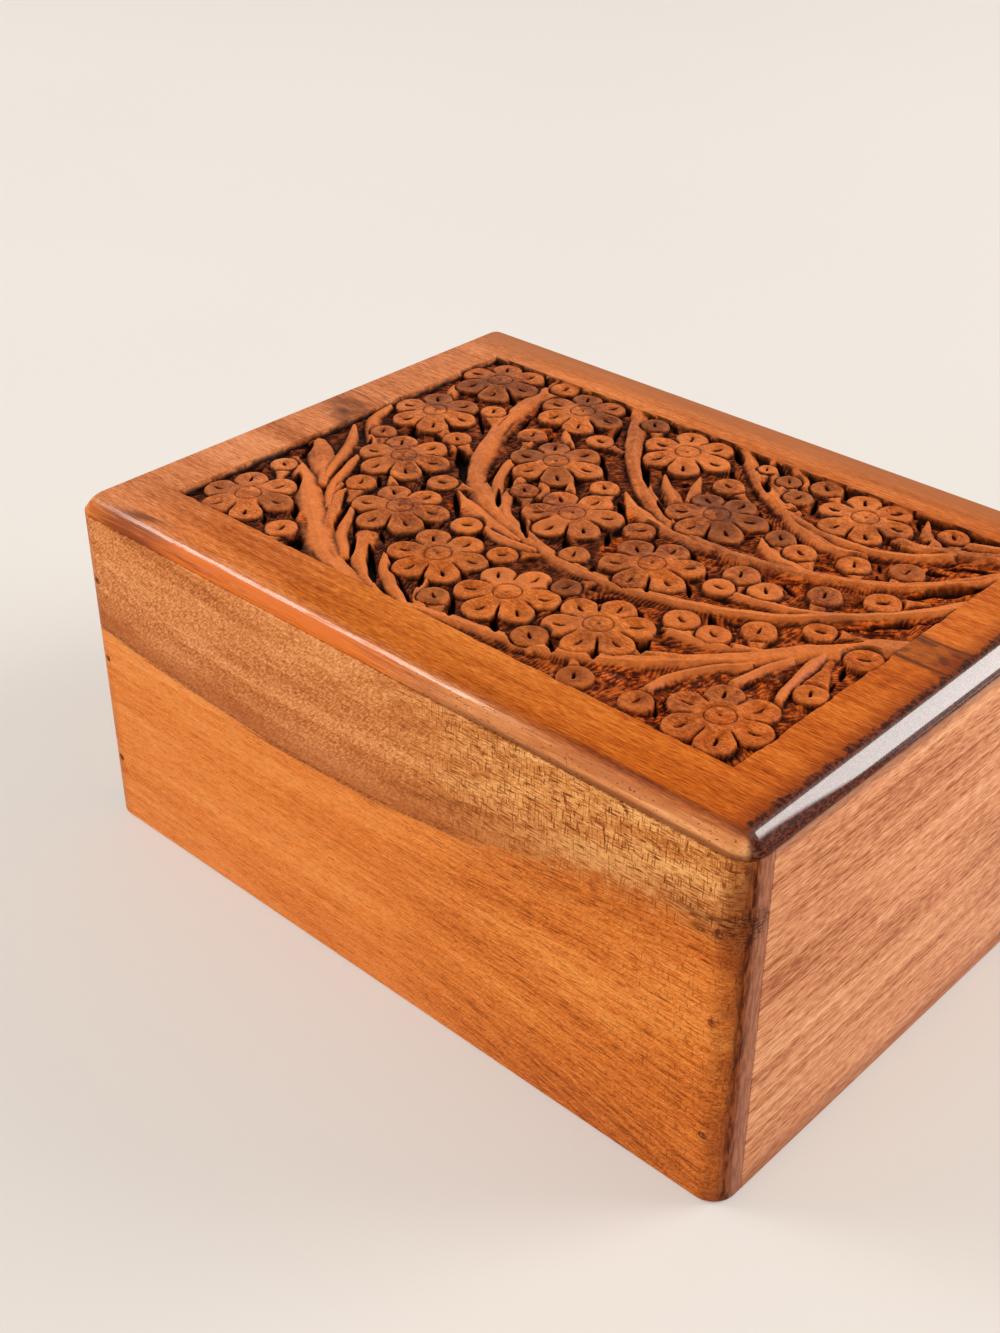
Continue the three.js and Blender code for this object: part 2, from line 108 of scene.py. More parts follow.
# Buds: head x, y and radius, then the foot of the stalk
STALK_WIDTH = 1.9
BUDS = [
  [-72.6, -26.2, 3.2, -67.5, -32], [-52.5, -20.5, 3.5, -48, -28], [-49.2, -47.6, 3.6, -46, -55],
  [-20.3, -18.8, 3.6, -14, -14], [-5.3, -23.2, 3.4, 0, -18], [-3.6, -45.8, 3.3, 3, -51],
  [13.8, -24.2, 3.2, 17, -18], [21.1, -43.6, 3.9, 25, -48], [37.5, -48.8, 3.7, 33, -44],
  [51.5, -47.3, 3.5, 50, -40], [39.5, -18.2, 3.8, 46, -23], [47.6, -18.3, 3.6, 52, -21],
  [53.6, -11.2, 3.7, 58, -19], [62.6, -2.9, 3.4, 71, 1], [75, -6, 3.9, 70, -8],
  [74.4, -23.2, 3.3, 70.5, -11], [65.5, 15.2, 3.9, 72, 21], [55.3, 9.2, 3.7, 57, 2],
  [45.1, 2.6, 3.7, 50, -1], [37.6, 4.4, 3.9, 41, -2], [37.2, -2.8, 3.4, 43, -3],
  [62.2, 29.5, 3.8, 62.5, 22], [52.4, 24.3, 3.7, 57, 18], [61.5, 49.3, 3.5, 66, 43],
  [28, 49.9, 3.8, 35, 45], [25.5, 42, 3.5, 26, 35], [19.5, 47, 3, 24, 43],
  [12.2, 48.7, 2.3, 14, 44], [10.7, 35.6, 3.7, 18, 33], [34, 23.5, 3.4, 40, 17],
  [41, 20.8, 3.6, 48, 15], [-26.4, 33.8, 3.4, -19, 33], [-40.5, 25, 3.5, -37, 18],
  [-52.6, 50.8, 3.7, -53, 42], [-56.8, 28.6, 3.2, -49, 21], [-52.4, 11.2, 3.4, -45, 8],
  [-68.7, 2.2, 3.2, -64, -3], [-38.8, -7.6, 3.6, -30, -5], [-22, 2.1, 3.2, -17, -3],
  [-9.4, 15.4, 3.4, -4, 10], [-22, 49.4, 3.4, -17, 44], [9.3, 5.4, 3.5, 13, 9],
  [5.9, -12.7, 3.4, 9, -17],
]

# Stems and leaves are ribbons: x, y and width at each point of a smooth curve
STEMS = [
  [[82, 57, 3], [72, 50.5, 3], [66, 48, 2.5], [59, 46.5, 1.5]],
  [[82, 52, 6], [72, 45.2, 4.5], [65, 42, 4], [59, 39.8, 3.2], [53, 39.8, 2.5]],
  [[66, 41, 3], [60, 35, 3], [53, 31.6, 3], [45, 30.6, 3.2], [37, 31.3, 3.4], [29, 33.5, 4],
    [21, 38, 4.5], [13, 44, 4.5], [6, 50, 4], [1, 56, 3.5]],
  [[81, 42, 7], [74, 32.5, 4.5], [67.5, 24.5, 4], [60, 18.8, 3.8], [51, 14.6, 4], [42, 11.6, 4],
    [32, 9.8, 3.8], [22, 9.6, 3.8], [13, 11.8, 4], [4, 16.6, 4.5], [-4, 22.3, 4.5],
    [-12, 29.5, 4.5], [-18.5, 37, 4.5], [-24, 45, 4.5], [-31, 55, 4.5]],
  [[81, 26, 7], [74, 16.5, 4], [68, 9.2, 3.5], [61.5, 3.2, 3.2], [55, -0.3, 3], [48, -2.3, 2.6],
    [40, -3.8, 2.2]],
  [[62, 3.5, 3], [56, -3, 3.4], [49, -7.8, 3.6], [41, -11.8, 4], [32, -15, 4.2], [23, -17, 4.2],
    [13, -17.8, 4.6], [3, -16.8, 4.8], [-6, -15, 5.4], [-14, -12.5, 6], [-22, -9, 7],
    [-29, -5, 6.5], [-34.5, -1, 5.5], [-38.2, 4, 5.5], [-42.2, 10.5, 6.5], [-46.6, 19, 6],
    [-50, 27, 6.5], [-52.3, 35, 6], [-54, 43, 5.5], [-56, 56, 4]],
  [[80, 2, 9], [75, -2, 9], [69, -9, 9], [64, -15.5, 8], [58.5, -22.5, 6.5], [52.5, -28.5, 6],
    [47.5, -33.5, 5.5], [42, -38.3, 5], [35, -42.5, 4.5], [27, -46, 4.2], [17, -48.6, 4.2],
    [6, -50.4, 4], [-6, -53.5, 4]],
  [[-10, -55, 5], [-22, -53.5, 7], [-33, -49.5, 8], [-43, -42.8, 8.5], [-52, -36.5, 8],
    [-60, -30.5, 7], [-67, -26, 5], [-73, -23, 3]],
]
LEAVES = [
  [[-37.5, 22, 1.5], [-35, 13, 2.2], [-32.5, 6, 2.5], [-28.5, 0, 3], [-23, -6, 3.5]],
  [[-30, 11, 1.6], [-26.5, 6, 2], [-24.5, 0.5, 2.4], [-20.5, -6, 3], [-15.5, -11, 3.5]],
  [[-17, -2, 2], [-12.5, -8, 2.2], [-7, -13, 2.4], [0, -16, 2.6]],
  [[50, -30, 3], [44.5, -33, 2.6], [40, -35.2, 2]],
  [[60, -23, 3], [54.6, -30.5, 3], [51.3, -37.5, 2.8], [50.3, -44, 2.6]],
  [[65, -16, 3], [63, -23, 2.6], [61.6, -29, 2.2], [61.5, -33, 2]],
  [[68.5, -10, 3.5], [69.2, -18, 2.6], [70.2, -26, 2.2], [72, -31, 2]],
  [[-45.5, -29, 2], [-41.5, -35, 2.6], [-37, -41, 3.2], [-30, -46.5, 4]],
  [[-75.5, -13, 5], [-70.5, -16.5, 7], [-65, -21, 6.5], [-58, -27, 5]],
  [[-75.5, -1, 3], [-71, -6, 3.5], [-67, -12, 3.5], [-63.5, -19, 3.2], [-59, -26, 4]],
  [[-63.5, -10, 1.6], [-61.5, -15, 2.4], [-58.8, -21, 2.6], [-54.8, -27.5, 3], [-49.5, -33, 3.5]],
  [[-55.5, -20, 2], [-54, -25, 2.6], [-50.8, -29.5, 3], [-46.5, -34.5, 3], [-42, -39.5, 3]],
  [[-33, -37, 5.5], [-29.5, -41.5, 5], [-25, -46.5, 4], [-19, -50.5, 3], [-10, -54, 3]],
  [[41, -23.5, 5], [48, -22.8, 6.5], [55, -20, 5], [60, -17, 4]],
  [[-77.5, 13, 2.5], [-75.5, 6, 4], [-71.5, 1, 4], [-66, -4, 3]],
  [[-33, -8.8, 2], [-28, -11.5, 5], [-22, -13.6, 5], [-15, -15.2, 4], [-8, -16.5, 3]],
  [[-17, -17.2, 1.5], [-10, -18.6, 3], [-2, -18, 3]],
  [[-50, -13.5, 1.5], [-46.5, -16, 3], [-42.5, -18.5, 2]],
  [[-24, -40, 2], [-20, -44, 3.2], [-14, -48.3, 3], [-6, -52.5, 3]],
  [[-9, -42, 1.5], [-7, -47, 2], [-1, -52, 2.5]],
  [[-4, 16.5, 2], [2, 12.3, 4], [9, 9.6, 4.5], [17, 8.4, 3.5], [26, 8.3, 3]],
  [[-3, 29.5, 2], [1, 25.5, 4], [6, 21.8, 4.5], [11, 17.5, 3]],
  [[4, 34, 1.5], [6.2, 29, 3], [9, 24, 3]],
  [[11, 53.5, 2.5], [16, 47.5, 4], [21, 42.5, 4.5], [26, 38, 3.5], [31, 35, 2]],
  [[17, 53.5, 3], [21, 50, 4], [25, 46, 3]],
  [[54, 51, 2], [57, 46, 3.5], [61, 43, 2.5]],
  [[28, 33.5, 3], [34, 30, 4.5], [41, 27.4, 5], [47, 26.8, 4], [52, 29, 3]],
  [[31.5, 20, 2], [35, 16.8, 5], [41, 14.6, 5], [47, 14, 4]],
  [[-37, 33.5, 1.5], [-34, 30, 3], [-30, 27, 2]],
  [[-18, 13, 1.5], [-14.5, 9.5, 2.5], [-12, 5, 2]],
  [[-24, 10, 1.5], [-20, 6.5, 3], [-17.5, 2.5, 3]],
  [[-75.5, 36, 2], [-73.5, 32, 4], [-71, 28, 3]],
  [[-62, 13.5, 2], [-57, 11.5, 4], [-50, 6.5, 3]],
]

# Deep pits between them: x, y of both ends and the greatest width
PITS = [
    [-77, -13, -72.5, -21.5, 2.2], [-66.5, -27, -61, -33, 2.5], [-57, -37, -51, -42, 2.5],
    [-66, -50, -62.5, -53.4, 2.6], [-60, -51, -54, -53.2, 2.2], [-59, -45, -54.5, -48, 2],
    [-45, -46.5, -39.8, -53.4, 4.6], [-65.5, -10, -59, -24.7, 1.8], [-59.5, -14, -55.8, -18.7, 1.9],
    [-55.8, -18.7, -52.4, -29.3, 1.7], [-48, -28, -40.5, -40, 2.3], [-42, -31, -35.5, -38.5, 1.9],
    [-35.5, -38, -28, -46.6, 1.7], [-30, -39, -16, -51, 2.6], [-28, -23.5, -25, -26, 2.4],
    [-17, -18, -12, -23, 2.8], [-10, -25, -6.5, -28.5, 2.6], [-8, -33, -2.5, -37, 2.4],
    [-16.5, -44, -4, -51.5, 1.7], [-12, -41, -8, -46, 2.6], [-1.5, -42, 5, -50, 2.4],
    [9.5, -42, 16, -48, 2.6], [24, -41, 29, -45.5, 2.6], [32, -37.5, 36.5, -42, 2.8],
    [18.8, -24.6, 24.7, -19.3, 2.6], [28, -19.5, 33, -22.5, 2.4], [37.3, -26.5, 42, -34.5, 3.2],
    [36, -31.4, 42.5, -30.2, 2], [17.6, -30, 19, -40, 1.3], [50, -18, 54, -20.5, 2],
    [53, -44, 57, -48, 2], [53, -50.5, 57, -53.2, 2.2], [65, -45, 67.5, -53, 2], [73, -9.5, 75.2, -14.5, 2],
    [-65.5, 12.5, -61, 3.5, 4.6], [-59.5, 15, -55.5, 12.6, 1.8], [-58.5, 10, -54.5, 7.5, 2.1],
    [-49, 9, -41, 1.5, 4.2], [-44, 4, -36, -3.2, 2.8], [-66, 0, -63, -3.5, 2.2], [-67.5, -3, -65.3, -6, 1.6],
    [-52.5, -15, -48.5, -18.5, 2], [-45, -5.5, -43.2, -9.5, 2.2], [-43, -9, -39.5, -14.5, 1.8],
    [-37, 11, -31, -2, 1.6], [-31.5, 9, -25.5, 0.5, 2.3], [-26, 8, -22, 5, 1.9],
    [-27, -1.4, -20.5, -8.3, 1.9], [-34.5, -8, -24.5, -17, 2.2], [-18, -4, -5.5, -15.2, 1.9],
    [-16.5, 1, -14.5, -3.5, 1.9], [-5, 15, 5.5, 5.5, 2.6], [3, 2, 8, -4.5, 2.4], [-2, -6, 3, -12, 2.6],
    [13.5, 5, 17, 2, 2], [23, 6, 28, 2.5, 2], [28, 2.5, 33, -1, 2], [29, -4, 34.5, -9, 2.4],
    [25, -11, 28, -15, 1.9], [11, -12, 14, -16.5, 2.2], [3, 19, 12, 13, 2], [20.3, 15.8, 21.7, 12.2, 1.4],
    [39.5, 8, 43, 5, 2], [42, -12, 47.5, -17, 2.8], [61.5, 0, 69, 4, 2.4], [77, 16.5, 65, 2, 2.6],
    [63.4, -9.5, 71.5, -0.6, 1.6], [-78.4, 41.4, -75, 36, 2.2], [-62, 53.2, -56.5, 48, 2.2],
    [-60.5, 39, -55.8, 35.5, 2.4], [-67, 34, -64.5, 30.5, 2.2], [-60, 27, -50, 18, 1.8],
    [-51, 41, -47.6, 33, 2.1], [-48.6, 34, -45, 24, 1.9], [-34.5, 53, -30.5, 50.6, 1.9],
    [-29, 45, -25, 37, 2.4], [-19, 52.6, -16, 51, 1.8], [-9, 53, -6, 51.5, 1.8], [-17.5, 39.5, -2, 22, 2.6],
    [-23.5, 30.5, -11.5, 19, 2.2], [0, 53, 6, 47.5, 2.4], [12, 53, 17, 48, 2.6], [13, 46, 20, 38.5, 2.4],
    [5, 44.5, 9, 40, 2], [12, 31.2, 16, 33, 1.9], [1, 29, 3, 32, 1.7], [28.4, 45.5, 32, 38, 2],
    [27, 34.5, 31, 37.5, 2], [30, 53, 34, 49.5, 2.2], [22, 32, 31, 24.5, 2.3], [26, 18, 29.5, 21.5, 2],
    [35.5, 27, 43, 22, 2], [51, 52.5, 53.5, 48.5, 1.9], [57, 41, 59, 44, 1.8], [65, 50, 68, 51.5, 1.8],
    [52.5, 34, 55, 35.6, 1.8], [63.5, 33, 69.3, 35.5, 2.6], [66, 37, 76, 43.5, 2], [77.5, 35, 67, 20.5, 2.8],
]

# Shallower nicks of ground, half way down: the same five numbers
HOLLOWS = [
    [-76, -29, -74.3, -35, 1.8], [-33.5, -32.5, -28, -36.5, 2], [-26.5, -29.5, -25, -34.5, 1.8],
    [-26.5, -19.5, -24, -23.5, 1.8], [46, -28, 54, -23.5, 1.8], [74.5, -15, 75.5, -19.5, 1.6],
    [36.5, -39, 43.5, -35.5, 2], [-41.3, 34, -38, 31.3, 2], [-38, 29, -35.2, 25.5, 1.8],
    [-6.5, 32.5, -3, 31, 1.6], [57.5, 25.5, 60.5, 20.5, 2], [55, 30, 57.5, 27, 1.7],
    [45.3, 19.5, 48.3, 15.2, 1.8], [44.5, 9.5, 50.5, 6, 2], [-18.5, 14.5, -15, 11, 1.6],
    [-74, 25, -71.5, 20, 1.6], [-48.5, 44.5, -46, 41, 1.6], [12.5, -20, 15.5, -22.5, 1.6],
]

# Ground that is left as pale fresh wood: x, y, reach along x and y, and the heading of its nicks
FRESH_GROUND = [
    [66.7, -41.3, 16, 14, None], [66, -22, 9, 9, 70], [57, -38, 4, 12, 75], [47, 22, 6, 4, 60],
    [48, 10, 7, 3, 40], [62, 12, 4, 4, 40], [70, 25, 6, 5, 50], [70, 5, 6, 6, 45], [10, -2, 4, 6, 30],
    [3, 11, 4, 3, 40], [-27, -12, 6, 3, 25], [-46, -39, 7, 4, 30], [-56, -30, 7, 3, 30],
    [40, -42, 9, 4, 70], [30, -24, 6, 3, 60], [60, 34, 6, 4, 60], [40, 34, 8, 4, 60],
    [8, 27, 5, 5, 60], [-40, 30, 3, 4, 60],
]

# Shape of the cuts: how many waves make a wobble, and the sizes of nicks, rims, dishes and slits
WAVES = 5
NICK_PITCH = 0.95
NICK_HEIGHT = 0.7
ROUND_NICKS = 72
RIDGE_FALL = 0.85
RIDGE_LOW = 1.4
RIDGE_HOLLOW = 0.75
TOWARDS_VIEWER = (0.68, -0.73)
RIBBON_SHARE = 0.9
TIP_SHARE = 0.35
TIP_POINTS = 9
GROUND_HEADING = 75
VEIN_DEPTH = 0.32
CUT_ROUND = 0.9
DISH_DEPTH = 0.8
DISH_REACH = (2.9, 2.45)
SLIT_REACH = (0.52, 0.15)
SLIT_DEPTH = 1.8
PETAL_CROWN = 2.2
PETAL_FALL = 0.6

# How far round a gouge, petal or bud the grid is worked on
GOUGE_WINDOW = 4
WINDOW_EDGE = 2

# Steps round each rounded edge
CORNER_STEPS = 16
TOP_STEPS = 16
TOP_FLATNESS = 1.5
EASE_STEPS = 3
POCKET_SIDES = 24

# Height of the lid's lower edge, how far a cutter reaches past the box, the angles from which an edge
# is kept sharp or eased, and how the rings of the lid are matched round its field
LID_UNDER = HEIGHT - LID_EDGE
BEYOND = 5
WALL_SHARP = 35
LID_SHARP = 38
ARRIS_FROM = 50
SIDES = 4
EDGE_TOLERANCE = 1e-4

# The dark line on the front as x and height, the figure across the lid as x and y + 10, and the fine
# lines along that figure: how far from its middle, how dark, and the x where each begins and is full
FRONT_LINE = [
    (-100, 55.6), (-88, 54.7), (-71, 52.9), (-52, 52), (-33, 50.7), (-8.5, 50.7), (4, 51.2), (16.5, 53.5),
    (29, 56), (41.5, 59.7), (54, 62.9), (66, 65.4), (79, 67.2), (91.5, 69), (100, 70),
]
FIGURE_LINE = [(-100, 14), (-88, 14), (-54, 6), (-6, 10), (20, 16), (50, 18), (80, 14.5), (100, 14.5)]
FIGURE_EDGES = [
    (-5.0, 0.75, 0, 60), (4.6, 0.75, 0, 60),
    (7.5, 0.5, -70, -84), (9.6, 0.6, -70, -84), (12.5, 0.4, -70, -84),
]

# Tones of wood as they show on a screen, and where on a value near a half each of three tones lies
TONE_PLACES = (0.41, 0.5, 0.59)
GREYED_WOOD = (84, 44, 28)
END_TONES = ((158, 86, 52), (221, 146, 100), (248, 186, 140))
END_LOOKS = {"right_end": ("right_wood", 1, 5), "left_end": ("left_wood", 1, 6)}
BASE_TONES = ((160, 100, 62), (200, 140, 94), (214, 160, 116))
BASE_SEED = 8

# Camera and light, in metres and watts
CAMERA_TARGET = Vector((-0.01059, -0.01831, 0.05455))
CAMERA_DISTANCE = 0.4093
AZIMUTH = math.radians(43.1)
ELEVATION = math.radians(32.64)
LENS = 48.54
SENSOR = 36
FLOOR_SIZE = 6
LAMP_DISTANCE = 2.2
WORLD_LIGHT = 0.48
LAMP_COLOUR = (1.0, 0.98, 0.95)
WORLD_COLOUR = (0.98, 0.99, 1.0, 1.0)
COAT_IOR = 1.6
COAT_ROUGHNESS = 0.09
FLOOR_GLOW = 0.35
BACKDROP = (236, 228, 220)
SEEN_BY = ("Is Camera Ray", "Is Glossy Ray", "Is Transmission Ray")


def smooth(low, high, value):
    """0 below low, 1 above high, and a soft step between."""
    share = np.clip((value - low) / (high - low), 0, 1)
    return share * share * (3 - 2 * share)


def wobble(x, y, seed, length, amount):
    """A smooth uneven field: crossing waves about length apart."""
    draw = np.random.default_rng(seed)
    total = np.zeros_like(x)
    for _ in range(WAVES):
        turn, phase = draw.uniform(0, 2 * math.pi, 2)
        pace = draw.uniform(0.7, 1.4) * 2 * math.pi / length
        total += np.sin((x * math.cos(turn) + y * math.sin(turn)) * pace + phase)
    return total * amount / math.sqrt(WAVES)


def spline(points, steps):
    """A smooth curve through points, with the width carried along as a third value."""
    known = np.array(points, float)
    known = np.vstack([2 * known[0] - known[1], known, 2 * known[-1] - known[-2]])
    curve = []
    for a, b, c, d in zip(known[:-3], known[1:-2], known[2:-1], known[3:]):
        for t in np.arange(steps) / steps:
            bend = (2 * a - 5 * b + 4 * c - d) * t**2 + (3 * b - a - 3 * c + d) * t**3
            curve.append(0.5 * (2 * b + (c - a) * t + bend))
    curve.append(known[-2])
    return np.array(curve)


class Carving:
    """Heights of the carved field on a fine grid, in millimetres below the lid's top."""

    def __init__(self, step):
        reach_x, reach_y = HALF_FIELD_X + FIELD_MARGIN, HALF_FIELD_Y + FIELD_MARGIN
        self.xs = np.linspace(-reach_x, reach_x, round(2 * reach_x / step) + 1)
        self.ys = np.linspace(-reach_y, reach_y, round(2 * reach_y / step) + 1)
        self.plain_x, self.plain_y = np.meshgrid(self.xs, self.ys)
        self.x = self.plain_x + wobble(self.plain_x, self.plain_y, 3, 9.0, 0.12)
        self.y = self.plain_y + wobble(self.plain_x, self.plain_y, 4, 9.0, 0.12)
        self.inside = np.minimum(HALF_FIELD_X - np.abs(self.plain_x), HALF_FIELD_Y - np.abs(self.plain_y))
        self.tone = np.zeros_like(self.plain_x)
        self.cut_ground()
        for seed, points in enumerate(LEAVES + STEMS):
            self.ribbon(points, seed, pointed=seed < len(LEAVES))
        self.cut_pits(PITS, PIT_DEPTH)
        for seed, (x, y, turn) in enumerate(FLOWERS):
            self.flower(x, y, turn, seed)
        for seed, bud in enumerate(BUDS):
            self.bud(*bud, seed)
        self.height += wobble(self.plain_x, self.plain_y, 21, 2.4, 0.02) * (self.inside > 0)
        self.height = np.where(self.inside < -0.3, 0, np.clip(self.height, -PIT_DEPTH, 0))

    def window(self, over_x, over_y, reach, area=(slice(None), slice(None))):
        """The part of the grid, or of an area of it, that is within reach of some points."""
        i0, i1 = np.searchsorted(self.xs[area[1]], [min(over_x) - reach, max(over_x) + reach])
        j0, j1 = np.searchsorted(self.ys[area[0]], [min(over_y) - reach, max(over_y) + reach])
        return slice(j0, j1), slice(i0, i1)

    def local(self, area, x, y, heading):
        """How far along a heading and across it the points of an area lie from a place."""
        from_x, from_y = self.x[area] - x, self.y[area] - y
        along = from_x * math.cos(heading) + from_y * math.sin(heading)
        return along, from_y * math.cos(heading) - from_x * math.sin(heading)

    def cut_ground(self):
        """Nicked ground between the borders, paler where the wood is fresh."""
        x, y = self.plain_x, self.plain_y
        self.fresh = np.zeros_like(x)
        turn = math.radians(GROUND_HEADING)
        self.row = (y * math.cos(turn) - x * math.sin(turn)) / NICK_PITCH + wobble(x, y, 8, 22, 3.0)
        nick = wobble(x, y, 5, 2.2, 0.16)
        for place_x, place_y, reach_x, reach_y, heading in FRESH_GROUND:
            away = np.hypot((x - place_x) / reach_x, (y - place_y) / reach_y)
            here = 1 - smooth(0.75, 1.05, away)
            if heading is None:
                row = np.arctan2(y - place_y, x - place_x) * ROUND_NICKS / (2 * math.pi)
            else:
                turn = math.radians(heading)
                row = (y - place_y) * math.cos(turn) - (x - place_x) * math.sin(turn)
                row = row / NICK_PITCH
            row = row + wobble(x, y, 7, 8, 0.3)
            ridge = np.abs(row % 1.0 - 0.5) * 2
            nick = nick * (1 - here) + here * (NICK_HEIGHT * ridge - NICK_HEIGHT / 2)
            self.row = np.where(here > self.fresh, row, self.row)
            self.fresh = np.maximum(self.fresh, here)
        self.height = nick - GROUND_DEPTH + wobble(x, y, 6, 9.0, 0.3)
        self.cut_pits(HOLLOWS, 0.5 * (GROUND_DEPTH + PIT_DEPTH))
        edge = self.inside + wobble(x, y, 9, 8, 0.12)
        self.height = np.maximum(self.height, np.where(edge <= 0, 0, -edge * STEEPNESS))

    def cut_pits(self, pits, depth):
        """Pits with pointed ends and steep sides."""
        for x0, y0, x1, y1, width in pits:
            area = self.window((x0, x1), (y0, y1), width / 2 + 0.5)
            run_x, run_y = x1 - x0, y1 - y0
            length = math.hypot(run_x, run_y)
            along = ((self.x[area] - x0) * run_x + (self.y[area] - y0) * run_y) / length
            across = ((self.y[area] - y0) * run_x - (self.x[area] - x0) * run_y) / length
            middle = np.clip(1 - (2 * along / length - 1) ** 2, 0, 1)
            half = width / 2 * middle**0.6
            cut = -np.clip((half - np.abs(across)) * 1.3 * STEEPNESS, 0, depth)
            cut = np.where(self.inside[area] > 0.3, cut, 0)
            self.height[area] = np.minimum(self.height[area], cut)

    def join(self, area, outside, top, edge):
        """A form that grows out of what is there already."""
        form = np.where(outside <= 0, top, edge - outside * STEEPNESS)
        self.height[area] = np.maximum(self.height[area], form)

    def lay_over(self, area, outside, top, edge):
        """A form that lies over what is there already, with a cut round it."""
        before = self.height[area]
        cut = edge - CUT_ROUND * (1 - np.clip(outside / CUT_ROUND, 0, 1))
        near = np.where(outside < CUT_ROUND, np.minimum(before, cut), before)
        wall = edge - outside * STEEPNESS
        self.height[area] = np.where(outside <= 0, top, np.maximum(wall, near))

    def ribbon(self, points, seed, pointed):
        """A stem or leaf with a sharp ridge, steeper on the side towards the viewer."""
        line = spline(points, 8) * (1, 1, RIBBON_SHARE)
        if pointed:
            line = line if line[0, 2] < line[-1, 2] else line[::-1]
            line[:TIP_POINTS, 2] *= np.linspace(TIP_SHARE, 1, TIP_POINTS)
        reach = line[:, 2].max() / 2 + GROUND_DEPTH / STEEPNESS + 0.7
        area = self.window(line[:, 0], line[:, 1], reach)
        x, y = self.x[area], self.y[area]
        outside = np.full_like(x, 1e3)
        share, side, width = np.zeros_like(x), np.zeros_like(x), np.ones_like(x)
        for a, b in zip(line[:-1], line[1:]):
            run = b[:2] - a[:2]
            near = self.window((a[0], b[0]), (a[1], b[1]), reach, area)
            from_x, from_y = x[near] - a[0], y[near] - a[1]
            t = np.clip((from_x * run[0] + from_y * run[1]) / (run @ run), 0, 1)
            half = (a[2] + (b[2] - a[2]) * t) / 2
            off_x, off_y = from_x - t * run[0], from_y - t * run[1]
            away = np.hypot(off_x, off_y)
            faced = (-run[1] * TOWARDS_VIEWER[0] + run[0] * TOWARDS_VIEWER[1]) / np.hypot(*run)
            closer = away - half < outside[near]
            for field, value in (
                (outside, away - half),
                (share, away / half),
                (side, np.sign(run[0] * off_y - run[1] * off_x) * faced),
                (width, half),
            ):
                field[near] = np.where(closer, value, field[near])
        lean = np.random.default_rng(seed).uniform(-0.2, 0.2)
        fall = np.clip(RIDGE_FALL * width, 0.35, RIDGE_LOW) * (0.8 + lean + 0.6 * side)
        share = np.clip(share, 0, 1)
        vein = VEIN_DEPTH * smooth(1.3, 2.4, width) * np.exp(-(((share - 0.5) / 0.13) ** 2))
        vein *= smooth(-0.2, 0.9, wobble(x, y, 30 + seed, 14, 0.8))
        top = -0.04 - fall * share**RIDGE_HOLLOW - vein
        higher = (outside <= 0) & (top >= self.height[area])
        self.join(area, outside, top, -0.04 - fall)
        self.tone[area] = np.where(higher, 0.65 + lean * 2, self.tone[area])

    def dome(self, area, outside, lift, power, tone):
        """A rounded petal or bud of one tone, laid over what is there."""
        rim = 1 + np.clip(outside, -PETAL_CROWN, 0) / PETAL_CROWN
        self.lay_over(area, outside, lift - PETAL_FALL * rim**power, lift - PETAL_FALL)
        self.tone[area] = np.where(outside <= 0, tone, self.tone[area])

    def gouge(self, x, y, heading, size=1.0):
        """A dished oval with a raised rim's shadow line and a deep slit along it."""
        long, wide = DISH_REACH[0] * size, DISH_REACH[1] * size
        area = self.window((x,), (y,), GOUGE_WINDOW)
        along, across = self.local(area, x, y, heading)
        away = np.hypot(along / long, across / wide)
        dish = DISH_DEPTH * (1 - np.clip(away, 0, 1) ** 1.6)
        line = 0.12 * np.exp(-(((away - 1) / 0.1) ** 2))
        slit = np.hypot(along / (long * SLIT_REACH[0]), across / (wide * SLIT_REACH[1]))
        self.height[area] -= dish + line + SLIT_DEPTH * (1 - np.clip(slit, 0, 1) ** 2)

    def flower(self, x, y, turn, seed):
        """Six round petals round a hub, parted by cuts that fade towards it."""
        draw = np.random.default_rng(300 + seed)
        area = self.window((x,), (y,), PETAL_REACH + PETAL_RADIUS + WINDOW_EDGE)
        from_x, from_y = self.x[area] - x, self.y[area] - y
        away = np.hypot(from_x, from_y)
        heading = np.degrees(np.arctan2(from_y, from_x)) - turn
        share = 360 / PETALS
        petal = np.round(heading / share)
        local = np.radians(heading - share * petal)
        petal = petal.astype(int) % PETALS
        out, across = away * np.cos(local), np.abs(away * np.sin(local))
        radius = PETAL_RADIUS + draw.uniform(-0.3, 0.15, PETALS)[petal]
        middle = PETAL_REACH + draw.uniform(-0.35, 0.25, PETALS)[petal]
        outside = np.where(out > middle, np.hypot(out - middle, across), across) - radius
        lift = draw.uniform(-0.3, 0, PETALS)[petal] * smooth(HUB_RADIUS, 6, away)
        tone = draw.uniform(-0.6, 0.5) + draw.uniform(-0.5, 0.5, PETALS)[petal]
        self.dome(area, outside, lift, 2.2, tone)
        half = math.pi / PETALS
        parting = np.abs(across * math.cos(half) - out * math.sin(half))
        deep = 1.8 * smooth(4.1, 7.2, away) * (outside < 0.4)
        ring = 0.42 * np.clip(1 - np.abs(away - HUB_RADIUS) / 0.3, 0, 1)
        dot = 0.55 * np.clip(1 - away / 0.6, 0, 1)
        self.height[area] -= deep * np.clip(1 - parting / (0.22 + 0.1 * deep), 0, 1) + ring + dot
        for petal in range(PETALS):
            towards = math.radians(turn + share * petal)
            out = PETAL_REACH + draw.uniform(-0.1, 0.35)
            heading = towards + draw.uniform(-0.25, 0.25)
            self.gouge(x + out * math.cos(towards), y + out * math.sin(towards), heading)

